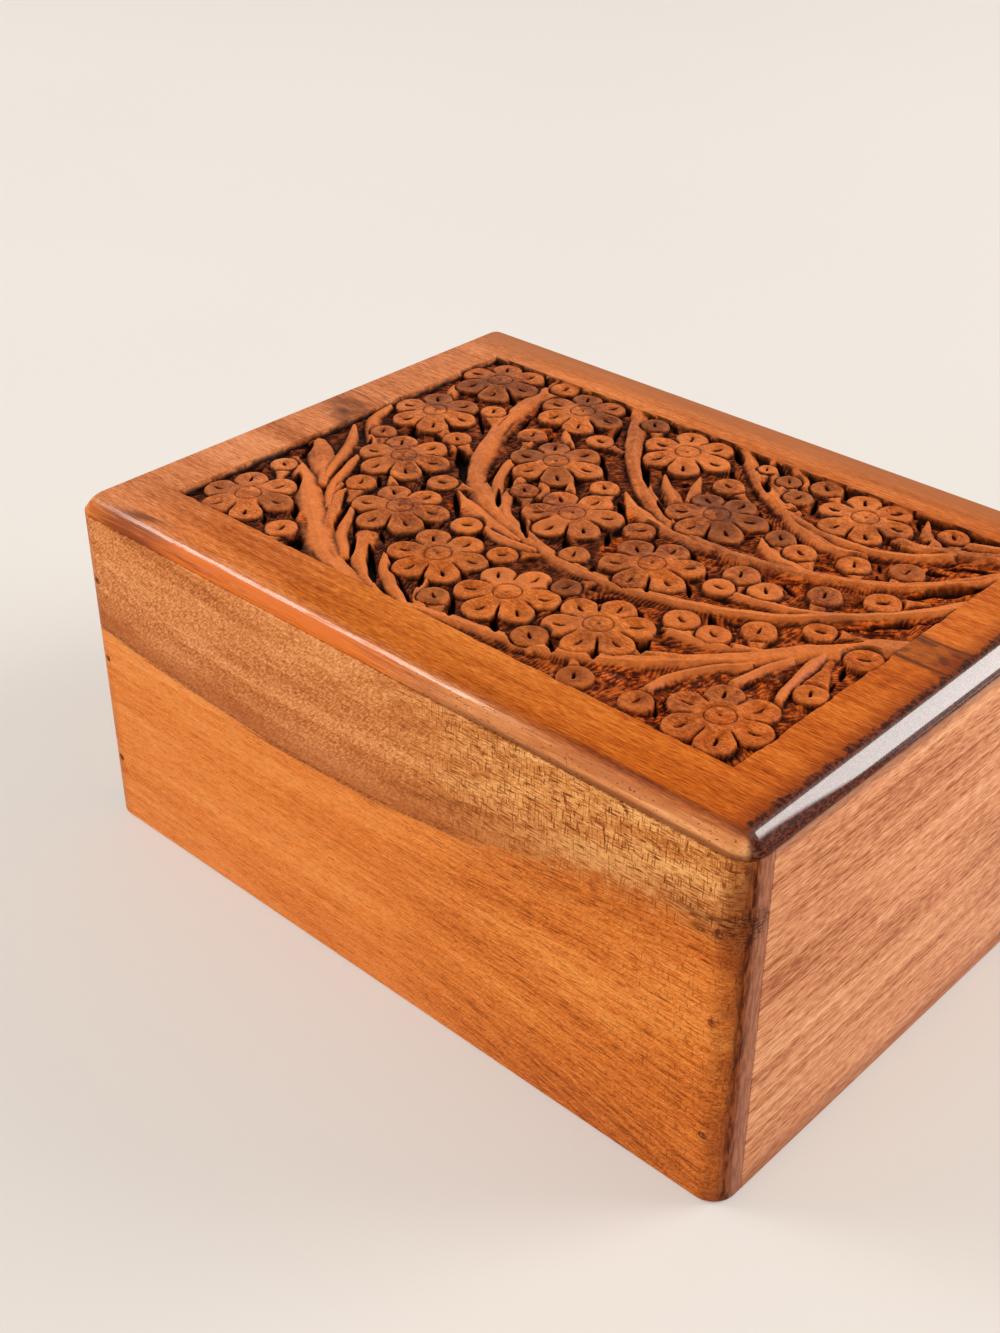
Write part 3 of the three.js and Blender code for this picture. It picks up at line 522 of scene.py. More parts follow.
    def bud(self, x, y, radius, foot_x, foot_y, seed):
        """A round head with a gouge, over a stalk that narrows to its foot."""
        draw = np.random.default_rng(400 + seed)
        area = self.window((x, foot_x), (y, foot_y), radius + WINDOW_EDGE)
        length = math.hypot(foot_x - x, foot_y - y)
        heading = math.atan2(foot_y - y, foot_x - x)
        along, across = self.local(area, x, y, heading)
        across = np.abs(across)
        share = np.clip(along / length, 0, 1)
        half = radius + (STALK_WIDTH / 2 - radius) * np.clip(1.35 * share, 0, 1) ** 0.8
        stalk = np.where(along > 0, np.hypot(across, np.clip(along - length, 0, None)) - half, 9)
        stalk_top = -0.15 - 0.75 * share
        crown = 0.3 * np.clip(across / half, 0, 1) ** 2
        self.join(area, stalk, stalk_top - crown, stalk_top - 0.3)
        outside = np.hypot(along, across) - radius
        self.dome(area, outside, draw.uniform(-0.35, 0), 2, draw.uniform(-1, 0.7))
        self.gouge(x, y, heading + draw.uniform(-0.25, 0.25), radius / PETAL_RADIUS)

    def tint(self, x, y):
        """How deep, hollow, shaded, black, fresh, lit at the ridges and light in tone each point of the
        field is. Depth, hollows, shade and black set painted shade, partly dark stain, and the ridges set a
        painted highlight.
        """
        step = self.xs[1] - self.xs[0]
        hollow = blurred(blurred(self.height, round(0.7 / step)), round(0.4 / step)) - self.height
        shade = blurred(blurred(self.height, round(1.8 / step)), round(1.3 / step)) - self.height
        below = -self.height
        fields = {
            "field": smooth(0.0, 0.8, self.inside),
            # Depth, hollows, the wider shade and black pits darken the recesses: painted shade, partly dark
            # stain.
            "deep": smooth(0.75, 1.35, below),
            "hollow": smooth(0.03, 0.3, hollow),
            "shade": smooth(0.1, 0.9, shade),
            "black": np.maximum(smooth(2.1, 2.8, below), 0.95 * smooth(0.32, 0.75, hollow)),
            "fresh": self.fresh * (1 - smooth(2.5, 3.0, below)),
            # Convex ridges of the field, to be painted lighter: a painted highlight.
            "lit_ridge": smooth(0.05, 0.35, -hollow) * (self.inside > 0.3),
            "tone": self.tone,
            "row": self.row,
        }
        across = np.clip((x - self.xs[0]) / step, 0, len(self.xs) - 1.001)
        up = np.clip((y - self.ys[0]) / step, 0, len(self.ys) - 1.001)
        i, j = across.astype(int), up.astype(int)
        u, v = across - i, up - j
        tints = {}
        for name, field in fields.items():
            near = field[j, i] * (1 - u) + field[j, i + 1] * u
            far = field[j + 1, i] * (1 - u) + field[j + 1, i + 1] * u
            tints[name] = near * (1 - v) + far * v
        return tints


def blurred(field, reach):
    """The field averaged over a square of grid points."""
    for axis in (0, 1):
        field = sum(np.roll(field, shift, axis) for shift in range(-reach, reach + 1))
        field = field / (2 * reach + 1)
    return field


def mesh_arrays(mesh):
    """Points and triangles of a mesh that holds only triangles."""
    points = np.empty(len(mesh.vertices) * 3)
    mesh.vertices.foreach_get("co", points)
    corners = np.empty(len(mesh.loops), int)
    mesh.loops.foreach_get("vertex_index", corners)
    return points.reshape(-1, 3), corners.reshape(-1, 3)


def placed(name, data):
    """A new object in the scene."""
    piece = bpy.data.objects.new(name, data)
    bpy.context.scene.collection.objects.link(piece)
    return piece


def new_object(name, points, faces):
    """A mesh object from points in metres."""
    mesh = bpy.data.meshes.new(name)
    mesh.from_pydata(points, [], faces)
    mesh.update()
    return placed(name, mesh)


def modified(piece, kind, **settings):
    """The piece's mesh once a modifier of one kind is applied."""
    step = piece.modifiers.new(kind, kind)
    for name, setting in settings.items():
        setattr(step, name, setting)
    bpy.context.view_layer.update()
    seen = piece.evaluated_get(bpy.context.evaluated_depsgraph_get())
    mesh = bpy.data.meshes.new_from_object(seen)
    piece.modifiers.clear()
    piece.data = mesh
    return mesh


def field_mesh(carving):
    """The carved field as triangles, with fewer where it is plain."""
    rows, columns = carving.height.shape
    points = np.stack([carving.plain_x, carving.plain_y, carving.height], -1).reshape(-1, 3)
    first = (np.arange(rows - 1)[:, None] * columns + np.arange(columns - 1)[None, :]).ravel()
    quads = np.stack([first, first + 1, first + columns + 1, first + columns], 1)
    piece = new_object("field", points.tolist(), quads.tolist())
    ratio = min(1.0, FIELD_TRIANGLES / (2 * len(quads)))
    mesh = modified(piece, "DECIMATE", ratio=ratio, use_collapse_triangulate=True)
    points, triangles = mesh_arrays(mesh)
    points[:, 2] = np.minimum(points[:, 2], 0)
    bpy.data.objects.remove(piece)
    bpy.data.meshes.remove(mesh)
    return points, triangles


def round_the_edge(x, y, half_x, half_y):
    """How far round a rectangle a point is: 0 to 4, a side for each whole number."""
    side_x = np.clip(x / half_x, -1, 1)
    side_y = np.clip(y / half_y, -1, 1)
    share = np.where(side_y <= -1, (side_x + 1) / 2, 0.0)
    share = np.where(side_x >= 1, 1 + (side_y + 1) / 2, share)
    share = np.where((side_y >= 1) & (side_x < 1), 2 + (1 - side_x) / 2, share)
    return np.where((side_x <= -1) & (side_y < 1) & (side_y > -1), 3 + (1 - side_y) / 2, share)


def rounded_ring(inset, z, radius=None):
    """A level of the box: a rectangle with rounded corners, anticlockwise from the front left."""
    radius = max(CORNER_ROUND - inset, SHARPEST_CORNER) if radius is None else radius
    ring = []
    for corner, (sign_x, sign_y) in enumerate(((-1, -1), (1, -1), (1, 1), (-1, 1))):
        for step in range(CORNER_STEPS + 1):
            angle = math.pi * (1 + 0.5 * corner + 0.5 * step / CORNER_STEPS)
            x = sign_x * (HALF_LENGTH - inset - radius) + radius * math.cos(angle)
            ring.append((x, sign_y * (HALF_WIDTH - inset - radius) + radius * math.sin(angle), z))
    return ring


def zip_rings(inner, inner_place, outer, outer_place):
    """Triangles between two rings whose points are sorted by their place round the edge."""
    faces = []
    i = j = 0
    inner_place = inner_place + [inner_place[0] + SIDES, math.inf]
    outer_place = outer_place + [outer_place[0] + SIDES, math.inf]
    while i < len(inner) or j < len(outer):
        this_i, this_j = inner[i % len(inner)], outer[j % len(outer)]
        if inner_place[i + 1] <= outer_place[j + 1]:
            faces.append((this_i, this_j, inner[(i + 1) % len(inner)]))
            i += 1
        else:
            faces.append((this_i, this_j, outer[(j + 1) % len(outer)]))
            j += 1
    return faces


def quarter_turn(steps):
    """Angles from 0 to a right angle."""
    return [step / steps * math.pi / 2 for step in range(steps + 1)]


def lid_levels():
    """Insets, heights and corner radii of the lid's rings, from the top round to its step."""
    levels = []
    for angle in quarter_turn(TOP_STEPS):
        z = HEIGHT - TOP_ROUND * (1 - math.cos(angle) ** TOP_FLATNESS)
        if z > LID_UNDER + 2 * ARRIS:
            levels.append((TOP_ROUND * (1 - math.sin(angle) ** TOP_FLATNESS), z, None))
    step_inset = WALL + LID_CLEARANCE
    return levels + [
        (0.0, LID_UNDER + ARRIS, None),
        (ARRIS, LID_UNDER, None),
        (step_inset, LID_UNDER, SHARPEST_CORNER),
        (step_inset, LID_LOW.z + ARRIS, SHARPEST_CORNER),
        (step_inset + ARRIS, LID_LOW.z, SHARPEST_CORNER),
    ]


def lid_board():
    """The lid as one closed mesh: carved field, border, rounded edge and step."""
    carving = Carving(GRID_STEP)
    points, triangles = field_mesh(carving)
    reach_x, reach_y = HALF_FIELD_X + FIELD_MARGIN, HALF_FIELD_Y + FIELD_MARGIN
    near_x, near_y = reach_x - EDGE_TOLERANCE, reach_y - EDGE_TOLERANCE
    edge = np.nonzero((np.abs(points[:, 0]) > near_x) | (np.abs(points[:, 1]) > near_y))[0]
    place = round_the_edge(points[edge, 0], points[edge, 1], near_x, near_y)
    order = np.argsort(place)
    edge, place = edge[order], place[order]
    tints = carving.tint(points[:, 0], points[:, 1])
    points[:, 2] += HEIGHT
    every_point = points.tolist()
    faces = triangles.tolist()
    rings = []
    for inset, z, radius in lid_levels():
        ring = rounded_ring(inset, z, radius)
        rings.append(list(range(len(every_point), len(every_point) + len(ring))))
        every_point += [list(point) for point in ring]
    first = np.array([every_point[index] for index in rings[0]])
    places = round_the_edge(first[:, 0], first[:, 1], reach_x, reach_y)
    turn = int(np.argmin(places))
    ordered = rings[0][turn:] + rings[0][:turn]
    faces += zip_rings(edge.tolist(), place.tolist(), ordered, np.roll(places, -turn).tolist())
    for upper, lower in zip(rings[:-1], rings[1:]):
        faces += zip(upper, lower, lower[1:] + lower[:1], upper[1:] + upper[:1])
    faces.append(tuple(reversed(rings[-1])))
    piece = new_object("carved_lid", (np.array(every_point) * MM).tolist(), faces)
    rest = len(every_point) - len(points)
    for name, values in tints.items():
        field = piece.data.attributes.new(name, "FLOAT", "POINT")
        field.data.foreach_set("value", np.concatenate([values, np.zeros(rest)]).astype(np.float32))
    soften(piece, LID_SHARP)
    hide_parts("lid_board")
    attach(piece, "lid")
    return piece


def soften(piece, degrees):
    """Smooth shading, with edges sharper than this kept."""
    piece.data.polygons.foreach_set("use_smooth", [True] * len(piece.data.polygons))
    piece.data.set_sharp_from_angle(angle=math.radians(degrees))


def rounded_block(inset_levels):
    """A closed block from levels of inset and height."""
    points, faces = [], []
    for inset, z in inset_levels:
        points += rounded_ring(inset, z)
    count = len(points) // len(inset_levels)
    for low in range(0, len(points) - count, count):
        for i in range(count):
            j = (i + 1) % count
            faces.append((low + i, low + j, low + count + j, low + count + i))
    faces.append(tuple(reversed(range(count))))
    faces.append(tuple(range(len(points) - count, len(points))))
    return new_object("block", (np.array(points) * MM).tolist(), faces)


def cutter(shape):
    """A shape as an object to cut with."""
    mesh = bpy.data.meshes.new("cutter")
    shape.to_mesh(mesh)
    shape.free()
    return placed("cutter", mesh)


def plain_block(low, high):
    """A plain block between two corners in millimetres."""
    shape = bmesh.new()
    bmesh.ops.create_cube(shape, size=1)
    for vertex in shape.verts:
        place = [(a + b) / 2 + share * (b - a) for a, b, share in zip(low, high, vertex.co)]
        vertex.co = Vector(place) * MM
    return cutter(shape)


def cut(piece, other, kind):
    """Boolean of the piece with another object, which is used up."""
    modified(piece, "BOOLEAN", operation=kind, solver="EXACT", object=other)
    bpy.data.objects.remove(other)


def ease_edges(piece):
    """A small arris along every sharp edge, so that it catches the light."""
    settings = {"limit_method": "ANGLE", "angle_limit": math.radians(ARRIS_FROM), "use_clamp_overlap": True}
    modified(piece, "BEVEL", width=ARRIS * MM, segments=2, **settings)


def pocket_cutter(place, axis):
    """A short round cutter for the head of one brad."""
    shape = bmesh.new()
    radius, depth = BRAD_POCKET_RADIUS * MM, 2 * BRAD_POCKET_DEPTH * MM
    bmesh.ops.create_cone(
        shape, cap_ends=True, segments=POCKET_SIDES, radius1=radius, radius2=radius, depth=depth
    )
    turn = Vector((0, 0, 1)).rotation_difference(Vector(axis)).to_matrix()
    bmesh.ops.rotate(shape, matrix=turn, verts=shape.verts)
    bmesh.ops.translate(shape, vec=place, verts=shape.verts)
    return cutter(shape)


def brad_heads(face, surface):
    """Where the brads of the front or back come to the surface, in metres."""
    heads = []
    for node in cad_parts:
        if node.startswith(face + "_") and "brad" in node:
            low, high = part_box(node)
            heads.append(Vector(((low.x + high.x) / 2, surface * MM, (low.z + high.z) / 2)))
    return sorted(heads, key=lambda head: (head.x, head.z))


def wall(name, low, high, heads):
    """One wall, cut from the rounded block, with the base's rebate and eased edges."""
    eased = [(1 - math.sin(angle), 1 - math.cos(angle)) for angle in quarter_turn(EASE_STEPS)]
    piece = rounded_block([(BOTTOM_EASE * inset, BOTTOM_EASE * z) for inset, z in eased] + [(0.0, HEIGHT)])
    piece.name = piece.data.name = name + "_wall"
    cut(piece, plain_block(low, high), "INTERSECT")
    inset = WALL - BASE_REBATE
    half_x, half_y = HALF_LENGTH - inset, HALF_WIDTH - inset
    pocket = plain_block((-half_x, -half_y, -BEYOND), (half_x, half_y, BASE_HIGH.z + GLUE_LINE))
    cut(piece, pocket, "DIFFERENCE")
    ease_edges(piece)
    for head in heads:
        cut(piece, pocket_cutter(head, (0, 1, 0)), "DIFFERENCE")
    soften(piece, WALL_SHARP)
    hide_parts(name + "_panel")
    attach(piece, "case")
    name + "_wood"
    return piece


def walls():
    """The four walls: long ones outside, ends between them."""
    long_x, wide_y = HALF_LENGTH + BEYOND, HALF_WIDTH + BEYOND
    inner_x, inner_y, end_y = HALF_LENGTH - WALL, HALF_WIDTH - WALL, END_HIGH.y
    corners = {
        "front": ((-long_x, -wide_y), (long_x, -inner_y)),
        "back": ((-long_x, inner_y), (long_x, wide_y)),
        "right_end": ((inner_x, -end_y), (long_x, end_y)),
        "left_end": ((-long_x, -end_y), (-inner_x, end_y)),
    }
    made = {}
    for name, (low, high) in corners.items():
        heads = brad_heads(name, HALF_WIDTH if name == "back" else -HALF_WIDTH)
        made[name] = wall(name, (*low, -BEYOND), (*high, WALL_TOP), heads)
    return made


def base_board():
    """The base, flush with the foot of the walls, with a pocket for each brad's head."""
    piece = plain_block(tuple(BASE_LOW), tuple(BASE_HIGH))
    piece.name = piece.data.name = "base_board"
    ease_edges(piece)
    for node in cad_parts:
        if node.startswith("base_brad"):
            low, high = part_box(node)
            head = Vector(((low.x + high.x) / 2, (low.y + high.y) / 2, 0))
            cut(piece, pocket_cutter(head, (0, 0, 1)), "DIFFERENCE")
    soften(piece, WALL_SHARP)
    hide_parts("base_panel")
    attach(piece, "case")
    return piece
def paint(red, green, blue):
    """A colour written as it shows on a screen, 0 to 255."""
    parts = [value / 255 for value in (red, green, blue)]
    linear = [v / 12.92 if v <= 0.04045 else ((v + 0.055) / 1.055) ** 2.4 for v in parts]
    return (*linear, 1.0)


class Value:
    """A number, vector or colour that varies over a surface, and the sums done with it."""

    def __init__(self, look, socket):
        self.look, self.socket = look, socket

    def __add__(self, other):
        return self.look.math("ADD", self, other)

    def __sub__(self, other):
        return self.look.math("SUBTRACT", self, other)

    def __mul__(self, other):
        return self.look.math("MULTIPLY", self, other)

    def __truediv__(self, other):
        return self.look.math("DIVIDE", self, other)

    def __abs__(self):
        return self.look.math("ABSOLUTE", self)

    def step(self, low, high, top=1.0, bottom=0.0):
        """A soft step from bottom to top as the value goes from low to high."""
        return self.look.add("MapRange", (self, low, high, bottom, top), interpolation_type="SMOOTHSTEP")

    def band(self, middle, half, soft):
        """1 within half of the middle, falling softly to 0 outside."""
        return abs(self - middle).step(half - soft, half + soft, 0.0, 1.0)

    def under(self, *layers, kind="MIX"):
        """This colour with layers over it, each a share and a colour."""
        mixed = self
        for share, colour in layers:
            colour = paint(*colour) if isinstance(colour, tuple) else colour
            inputs = {0: share, 6: mixed, 7: colour}
            mixed = self.look.add("Mix", inputs, 2, data_type="RGBA", blend_type=kind)
        return mixed

    def tones(self, dark, middle, light):
        """Dark, middle and light wood by a value that stays near a half."""
        tone = self.look.add("ValToRGB", (self,))
        marks = tone.socket.node.color_ramp.elements
        marks.new(0.5)
        for mark, place, colour in zip(marks, TONE_PLACES, (dark, middle, light)):
            mark.position = place
            mark.color = paint(*colour)
        return tone

    def curve(self, stops, top):
        """A smooth curve through stops of value and height, with top the highest it may be."""
        low, reach = stops[0][0], stops[-1][0] - stops[0][0]
        drawn = self.look.add("FloatCurve", {"Value": (self - low) / reach})
        mapping = drawn.socket.node.mapping
        line = mapping.curves[0]
        while len(line.points) < len(stops):
            line.points.new(0.5, 0.5)
        for mark, (place, height) in zip(line.points, stops):
            mark.location = ((place - low) / reach, height / top)
        mapping.update()
        return drawn * top


class Nodes:
    """The nodes of a material or of the world."""

    def __init__(self, owner):
        owner.use_nodes = True
        self.nodes, self.links = owner.node_tree.nodes, owner.node_tree.links
        self.nodes.clear()

    def add(self, kind, inputs=(), output=0, **settings):
        """A node with its settings and what goes into it, as the value that comes out."""
        node = self.nodes.new("ShaderNode" + kind)
        for name, setting in settings.items():
            setattr(node, name, setting)
        for place, value in inputs.items() if isinstance(inputs, dict) else enumerate(inputs):
            if isinstance(value, Value):
                self.links.new(value.socket, node.inputs[place])
            else:
                node.inputs[place].default_value = value
        return Value(self, node.outputs[output])

    def math(self, kind, *values):
        """One sum."""
        return self.add("Math", values, operation=kind)

    def seen(self, plain, shown, share=1.0):
        """One surface, with a share of another to the camera, in gloss and through clear things."""
        rays = self.add("LightPath").socket.node.outputs
        camera, glossy, clear = [Value(self, rays[name]) for name in SEEN_BY]
        looked_at = self.math("MAXIMUM", self.math("MAXIMUM", camera, glossy), clear)
        return self.add("MixShader", (looked_at * share, plain, shown))

    def close(self, kind, surface):
        """The last node, which shows a surface."""
        self.links.new(surface.socket, self.nodes.new("ShaderNodeOutput" + kind).inputs["Surface"])


class Look(Nodes):
    """A material's nodes, with short calls for the few kinds used here."""

    def __init__(self, name):
        self.material = bpy.data.materials.new(name)
        super().__init__(self.material)
        place = self.add("TexCoord", output="Object")
        self.point = self.add("VectorMath", {0: place, "Scale": 1 / MM}, operation="SCALE")
        parts = self.add("SeparateXYZ", (self.point,)).socket.node.outputs
        self.x, self.y, self.z = [Value(self, part) for part in parts]

    def noise(self, scale, shift=(0, 0, 0), detail=2.0, rough=0.5, bend=0.0, place=None):
        """Noise from 0 to 1 over a place that is stretched by scale and then shifted."""
        spread = self.add("VectorMath", (place or self.point, scale, shift), operation="MULTIPLY_ADD")
        inputs = {"Vector": spread, "Scale": 1, "Detail": detail, "Roughness": rough, "Distortion": bend}
        return self.add("TexNoise", inputs)

    def join(self, x, y, z):
        """Three values as a vector."""
        return self.add("CombineXYZ", (x, y, z))

    def attribute(self, name):
        """A value kept at the mesh's points."""
        return self.add("Attribute", output="Fac", attribute_name=name)

    def finish(self, colour, rough, bump, depth, coat=0.0, specular=0.25, metal=0.0, glow=None):
        """The surface: a colour, its roughness and a bump height in millimetres."""
        relief = self.add("Bump", {"Strength": 1.0, "Distance": depth * MM, "Height": bump})
        sockets = {
            "Base Color": colour, "Roughness": rough, "Metallic": metal, "Specular IOR Level": specular,
            "Coat Weight": coat, "Coat Roughness": COAT_ROUGHNESS, "Coat IOR": COAT_IOR, "Normal": relief,
        }
        surface = self.add("BsdfPrincipled", sockets)
        if glow:
            surface = self.seen(surface, self.add("Emission", {"Color": paint(*glow)}), FLOOR_GLOW)
        self.close("Material", surface)
        return self.material


def grain(look, along, seed):
    """Broad tone, streaks and fine fibres, each 0 to 1, with the grain along x (0) or y (1)."""
    layers = []
    for lengthwise, across, detail in ((0.011, 0.085, 3.0), (0.02, 0.8, 3.0), (0.2, 3.6, 2.0)):
        scale = [across, across, across]
        scale[along] = lengthwise
        layers.append(look.noise(scale, (seed * 3.7, seed * 5.1, seed * 2.3), detail, 0.6, 0.25))
    return layers


def weighed(*pairs):
    """The sum of values, each with its weight."""
    total = 0.0
    for value, weight in pairs:
        total = value.look.math("MULTIPLY_ADD", value, weight, total)
    return total


def spot(across, up, middle, reach):
    """1 at a place on a face, fading to 0 at the reach."""
    side, rise = (across - middle[0]) / reach[0], (up - middle[1]) / reach[1]
    return side.look.math("SQRT", weighed((side * side, 1.0), (rise * rise, 1.0))).step(1.0, 0.1)


def lid_top_colour(look, broad, streak, fibre):
    """Bare wood of the lid: paler at the left, redder at the right, with one dark figure across."""
    x, y = look.x, look.y
    fleck = look.noise((0.5, 4.5, 4.5), (2, 8, 4), 2.0, 0.6)
    tone = weighed((broad, 0.26), (streak, 0.14), (fibre, 0.3), (fleck, 0.3))
    colour = tone.tones((148, 66, 18), (200, 104, 38), (236, 144, 80)).under(
        (x.step(-50, -88), tone.tones((146, 76, 36), (202, 115, 62), (236, 154, 104))),
        (x.step(25, 85), tone.tones((136, 54, 8), (192, 90, 22), (228, 128, 52))),
        (y.step(54, 66), (172, 98, 52)),
    )
    rise = weighed((y, 1.0), ((broad - 0.5) * 10, 1.0), (x.curve(FIGURE_LINE, 20), -1.0)) + 10
    stained = look.noise((0.09, 0.16, 0.16), (3, 1, 5), 3.0, 0.6).step(0.46, 0.56, 0.9, 0.4)
    stained = stained * x.step(-86, -70, 1.0, 0.6)
    inside = abs(x).step(HALF_FIELD_X, HALF_FIELD_X - 8) * abs(y).step(HALF_FIELD_Y, HALF_FIELD_Y - 8)
    greys = look.noise((0.03, 0.055, 0.055), (8, 8, 8)).step(0.48, 0.6) * inside
    colour = colour.under(
        (rise.band(0.0, 4.8, 2.4) * stained, GREYED_WOOD),
        (greys * 0.72, (78, 42, 30)),
    )
    for edge, share, low, high in FIGURE_EDGES:
        line = rise.band(edge, 0.35, 0.35) * (x.step(low, high) * share)
        colour = colour.under((line, (52, 24, 14)))
    return colour.under(
        (spot(x, y, (-83.0, 2.0), (5.0, 2.2)) * 0.7, (50, 26, 18)),
        (x.step(HALF_LENGTH - 10, HALF_LENGTH - 4.5) * 0.6, (112, 38, 8)),
        (fibre.step(0.54, 0.7) * 0.3, (112, 46, 14)),
    )


def front_rim(look, broad, streak, fibre):
    """The lid's front edge: orange at the left, tan and pitted at the right."""
    x = look.x
    tone = weighed((broad, 0.4), (streak, 0.35), (fibre, 0.25))
    pitted = look.noise((1.3, 2.2, 2.2), (8, 3, 3), 2.0, 0.6).step(0.37, 0.32)
    low_line = look.z.step(LID_UNDER + 1.2, LID_UNDER + 0.4)
    return tone.tones((130, 52, 16), (206, 100, 30), (240, 146, 66)).under(
        (x.step(0, 30), tone.tones((200, 112, 52), (228, 142, 76), (246, 172, 110))),
        (x.band(-34, 34, 14) * streak.step(0.36, 0.5, 0.85), (230, 108, 10)),
        (x.band(-76, 12, 8) * streak.step(0.42, 0.54, 0.8), (126, 48, 12)),
        (pitted * x.step(-10, 20, 0.85), (110, 48, 20)),
        (low_line * x.step(5, 35, 0.7), (96, 42, 20)),
    )


def ground_colour(look, patch, fresh, hollow, shade):
    """The nicked ground between the carved forms: darker wood that is partly stain and partly painted shade,
    with painted shade in its grooves, hollows and corners, painted highlights on the crests of its nicks,
    and paler where the wood is fresh.
    """
    x = look.x
    share = look.math("MAXIMUM", fresh, x.step(-10, 60, 0.6))
    share = look.math("MAXIMUM", share, look.y.step(-10, 30, 0.16))
    fold = look.math("PINGPONG", look.attribute("row"), 0.5)
    groove = (fold + (patch - 0.5) * 1.2).step(0.34, 0.1)
    cuts = look.math("MAXIMUM", fresh * 0.85, x.step(-50, 50, 0.6, 0.3))
    return patch.tones((24, 9, 4), (64, 26, 11), (126, 56, 24)).under(
        (share, patch.tones((140, 46, 8), (202, 80, 14), (238, 116, 34))),
        # Painted shade in the grooves of the nicks.
        (groove * cuts, (34, 11, 5)),
        # A painted highlight on the crests of the nicks.
        (fold.step(0.34, 0.48) * (cuts * 0.6), (232, 108, 30)),
        # Painted shade in hollows and in the ground close to the walls.
        (hollow * 0.9, (38, 12, 4)),
        (shade * share.step(0.0, 1.0, 0.45, 0.88), (30, 10, 4)),
    )


def lid_wood():
    """The lid: orange-brown under satin lacquer, darker cuts and black pits that are partly dark stain and
    partly painted shade, a painted highlight on the carved ridges, and fresh wood in places.
    """
    look = Look("lid_wood")
    x, y, z = look.x, look.y, look.z
    broad, streak, fibre = grain(look, 0, 1)
    facing = y.step(-HALF_WIDTH + TOP_ROUND, -HALF_WIDTH + TOP_ROUND - 1.2)
    along_rim = weighed((y, 1.0), (x, -0.16), (streak, 3.0))
    tint = spot(x, along_rim, (-74.0, -52.4), (13.0, 1.5))
    colour = lid_top_colour(look, broad, streak, fibre).under((tint * 0.75, (96, 44, 28)))
    colour = colour.under((x.band(25, 55, 15) * y.step(5, -25), (250, 243, 188)), kind="MULTIPLY")
    rim = front_rim(look, broad, streak, fibre)
    high_line = weighed((y, 1.0), (streak, 2.4)).band(TOP_ROUND + 0.8 - HALF_WIDTH, 0.3, 0.7)
    out_x, out_y = abs(x) - (HALF_LENGTH - CORNER_ROUND), abs(y) - (HALF_WIDTH - CORNER_ROUND)
    sideways = (out_x - out_y).step(-0.6, 1.4)
    jagged = (look.noise((0.3, 0.3, 0.3), (9, 4, 2), 4.0, 0.75) - 0.42) * 5
    to_end = weighed((abs(x), 1.0), (jagged, 1.0)) + x.step(-1, 1, 0.0, -2.6)
    end = to_end.step(HALF_LENGTH - TOP_ROUND - 0.9, HALF_LENGTH - TOP_ROUND + 0.1) * sideways
    dots = look.noise((0.7, 1.1, 2.6), (0, 0, 0), 3.0, 0.65)
    names = ("field", "deep", "hollow", "shade", "black", "fresh", "lit_ridge", "tone")
    field, deep, hollow, shade, black, fresh, lit_ridge, light = [look.attribute(name) for name in names]
    patch = look.noise((0.45, 0.45, 0.45), (0, 0, 0), 3.0, 0.65)
    pores = look.noise((1.1, 2.4, 2.4), (5, 2, 7), 3.0, 0.7)
    handled = weighed((patch, 0.45), (pores, 0.55))
    colour = colour.under(
        (z.step(HEIGHT - 0.4, HEIGHT - 1.6) * facing, rim),
        (high_line * x.step(40, 58, 0.7), (84, 36, 22)),
        (end * 0.94, dots.tones((28, 9, 5), (68, 23, 12), (110, 48, 26))),
        (field * 0.45, handled.tones((98, 34, 12), (183, 82, 32), (240, 138, 68))),
        (light.step(-0.1, -1.0, 0.7), GREYED_WOOD),
        (light.step(0.1, 0.9, 0.58), (226, 126, 62)),
        # A painted highlight along the carved ridges.
        (lit_ridge * 0.3, (224, 126, 62)),
        # Hollows painted darker: painted shade, partly dark stain.
        (hollow * 0.85, (60, 22, 9)),
        # The ground, switched in with depth and darker than the tops: painted shade, partly dark stain.
        (deep, ground_colour(look, patch, fresh, hollow, shade)),
        # Deep pits and tight hollows painted black: painted shade, partly dark stain.
        (black, (9, 4, 3)),
    )
    rough = streak.step(0.3, 0.7, 0.36, 0.46) + deep * 0.2
    taper = y.step(-HALF_WIDTH + 4, -HALF_WIDTH + 52, 3.4, 1.3)
    low = (z + taper).step(HEIGHT - 0.35, HEIGHT + 0.35) * z.step(HEIGHT - 0.1, HEIGHT - 0.35, 1.0, 0.1)
    strokes = look.noise((0.1, 2.6, 2.6), (6, 6, 1), 3.0, 0.65)
    glossy_front = facing * strokes.step(0.4, 0.52, 1.0, 0.3) * z.step(LID_UNDER + 0.3, LID_UNDER + 0.9)
    glossy_front = glossy_front * x.step(-94, -56, 1.0, 0.2)
    gloss = look.math("MAXIMUM", end * low * 0.9, glossy_front * 0.58)
    gloss = gloss + look.math("MULTIPLY_ADD", field, 0.01, 0.005)
    bump = weighed((fibre, 0.6), (patch, look.math("MULTIPLY_ADD", deep, 2.0, 0.15)))
    return look.finish(colour, rough, bump, 0.08, gloss, specular=0.05)


def front_upper(look, above, ticks):
    """Tan wood with cross-hatched ripple, in bands that follow the line below it."""
    along_line = look.join(look.x, look.y, above)
    bands = look.noise((0.02, 0.1, 0.16), (3, 3, 6), 3.0, 0.6, 0.3, along_line)
    flecks = look.noise((0.5, 1.0, 1.5), (5, 3, 6), 3.0, 0.65, 0.0, along_line)
    tone = weighed((bands, 0.3), (flecks, 0.25), (ticks, 0.45))
    left = tone.tones((164, 87, 38), (216, 130, 68), (248, 173, 110))
    return left.under((look.x.step(-10, 50), tone.tones((138, 68, 24), (212, 129, 61), (252, 185, 112))))


def front_lower(look, broad, streak, fibre, speck):
    """Bright orange wood with fine fibres, browner towards the near corner."""
    tone = weighed((broad, 0.24), (streak, 0.12), (fibre, 0.28), (speck, 0.36))
    left = tone.tones((206, 104, 36), (240, 138, 58), (252, 166, 90))
    return left.under((look.x.step(-5, 45), tone.tones((146, 66, 16), (222, 118, 42), (252, 164, 80))))


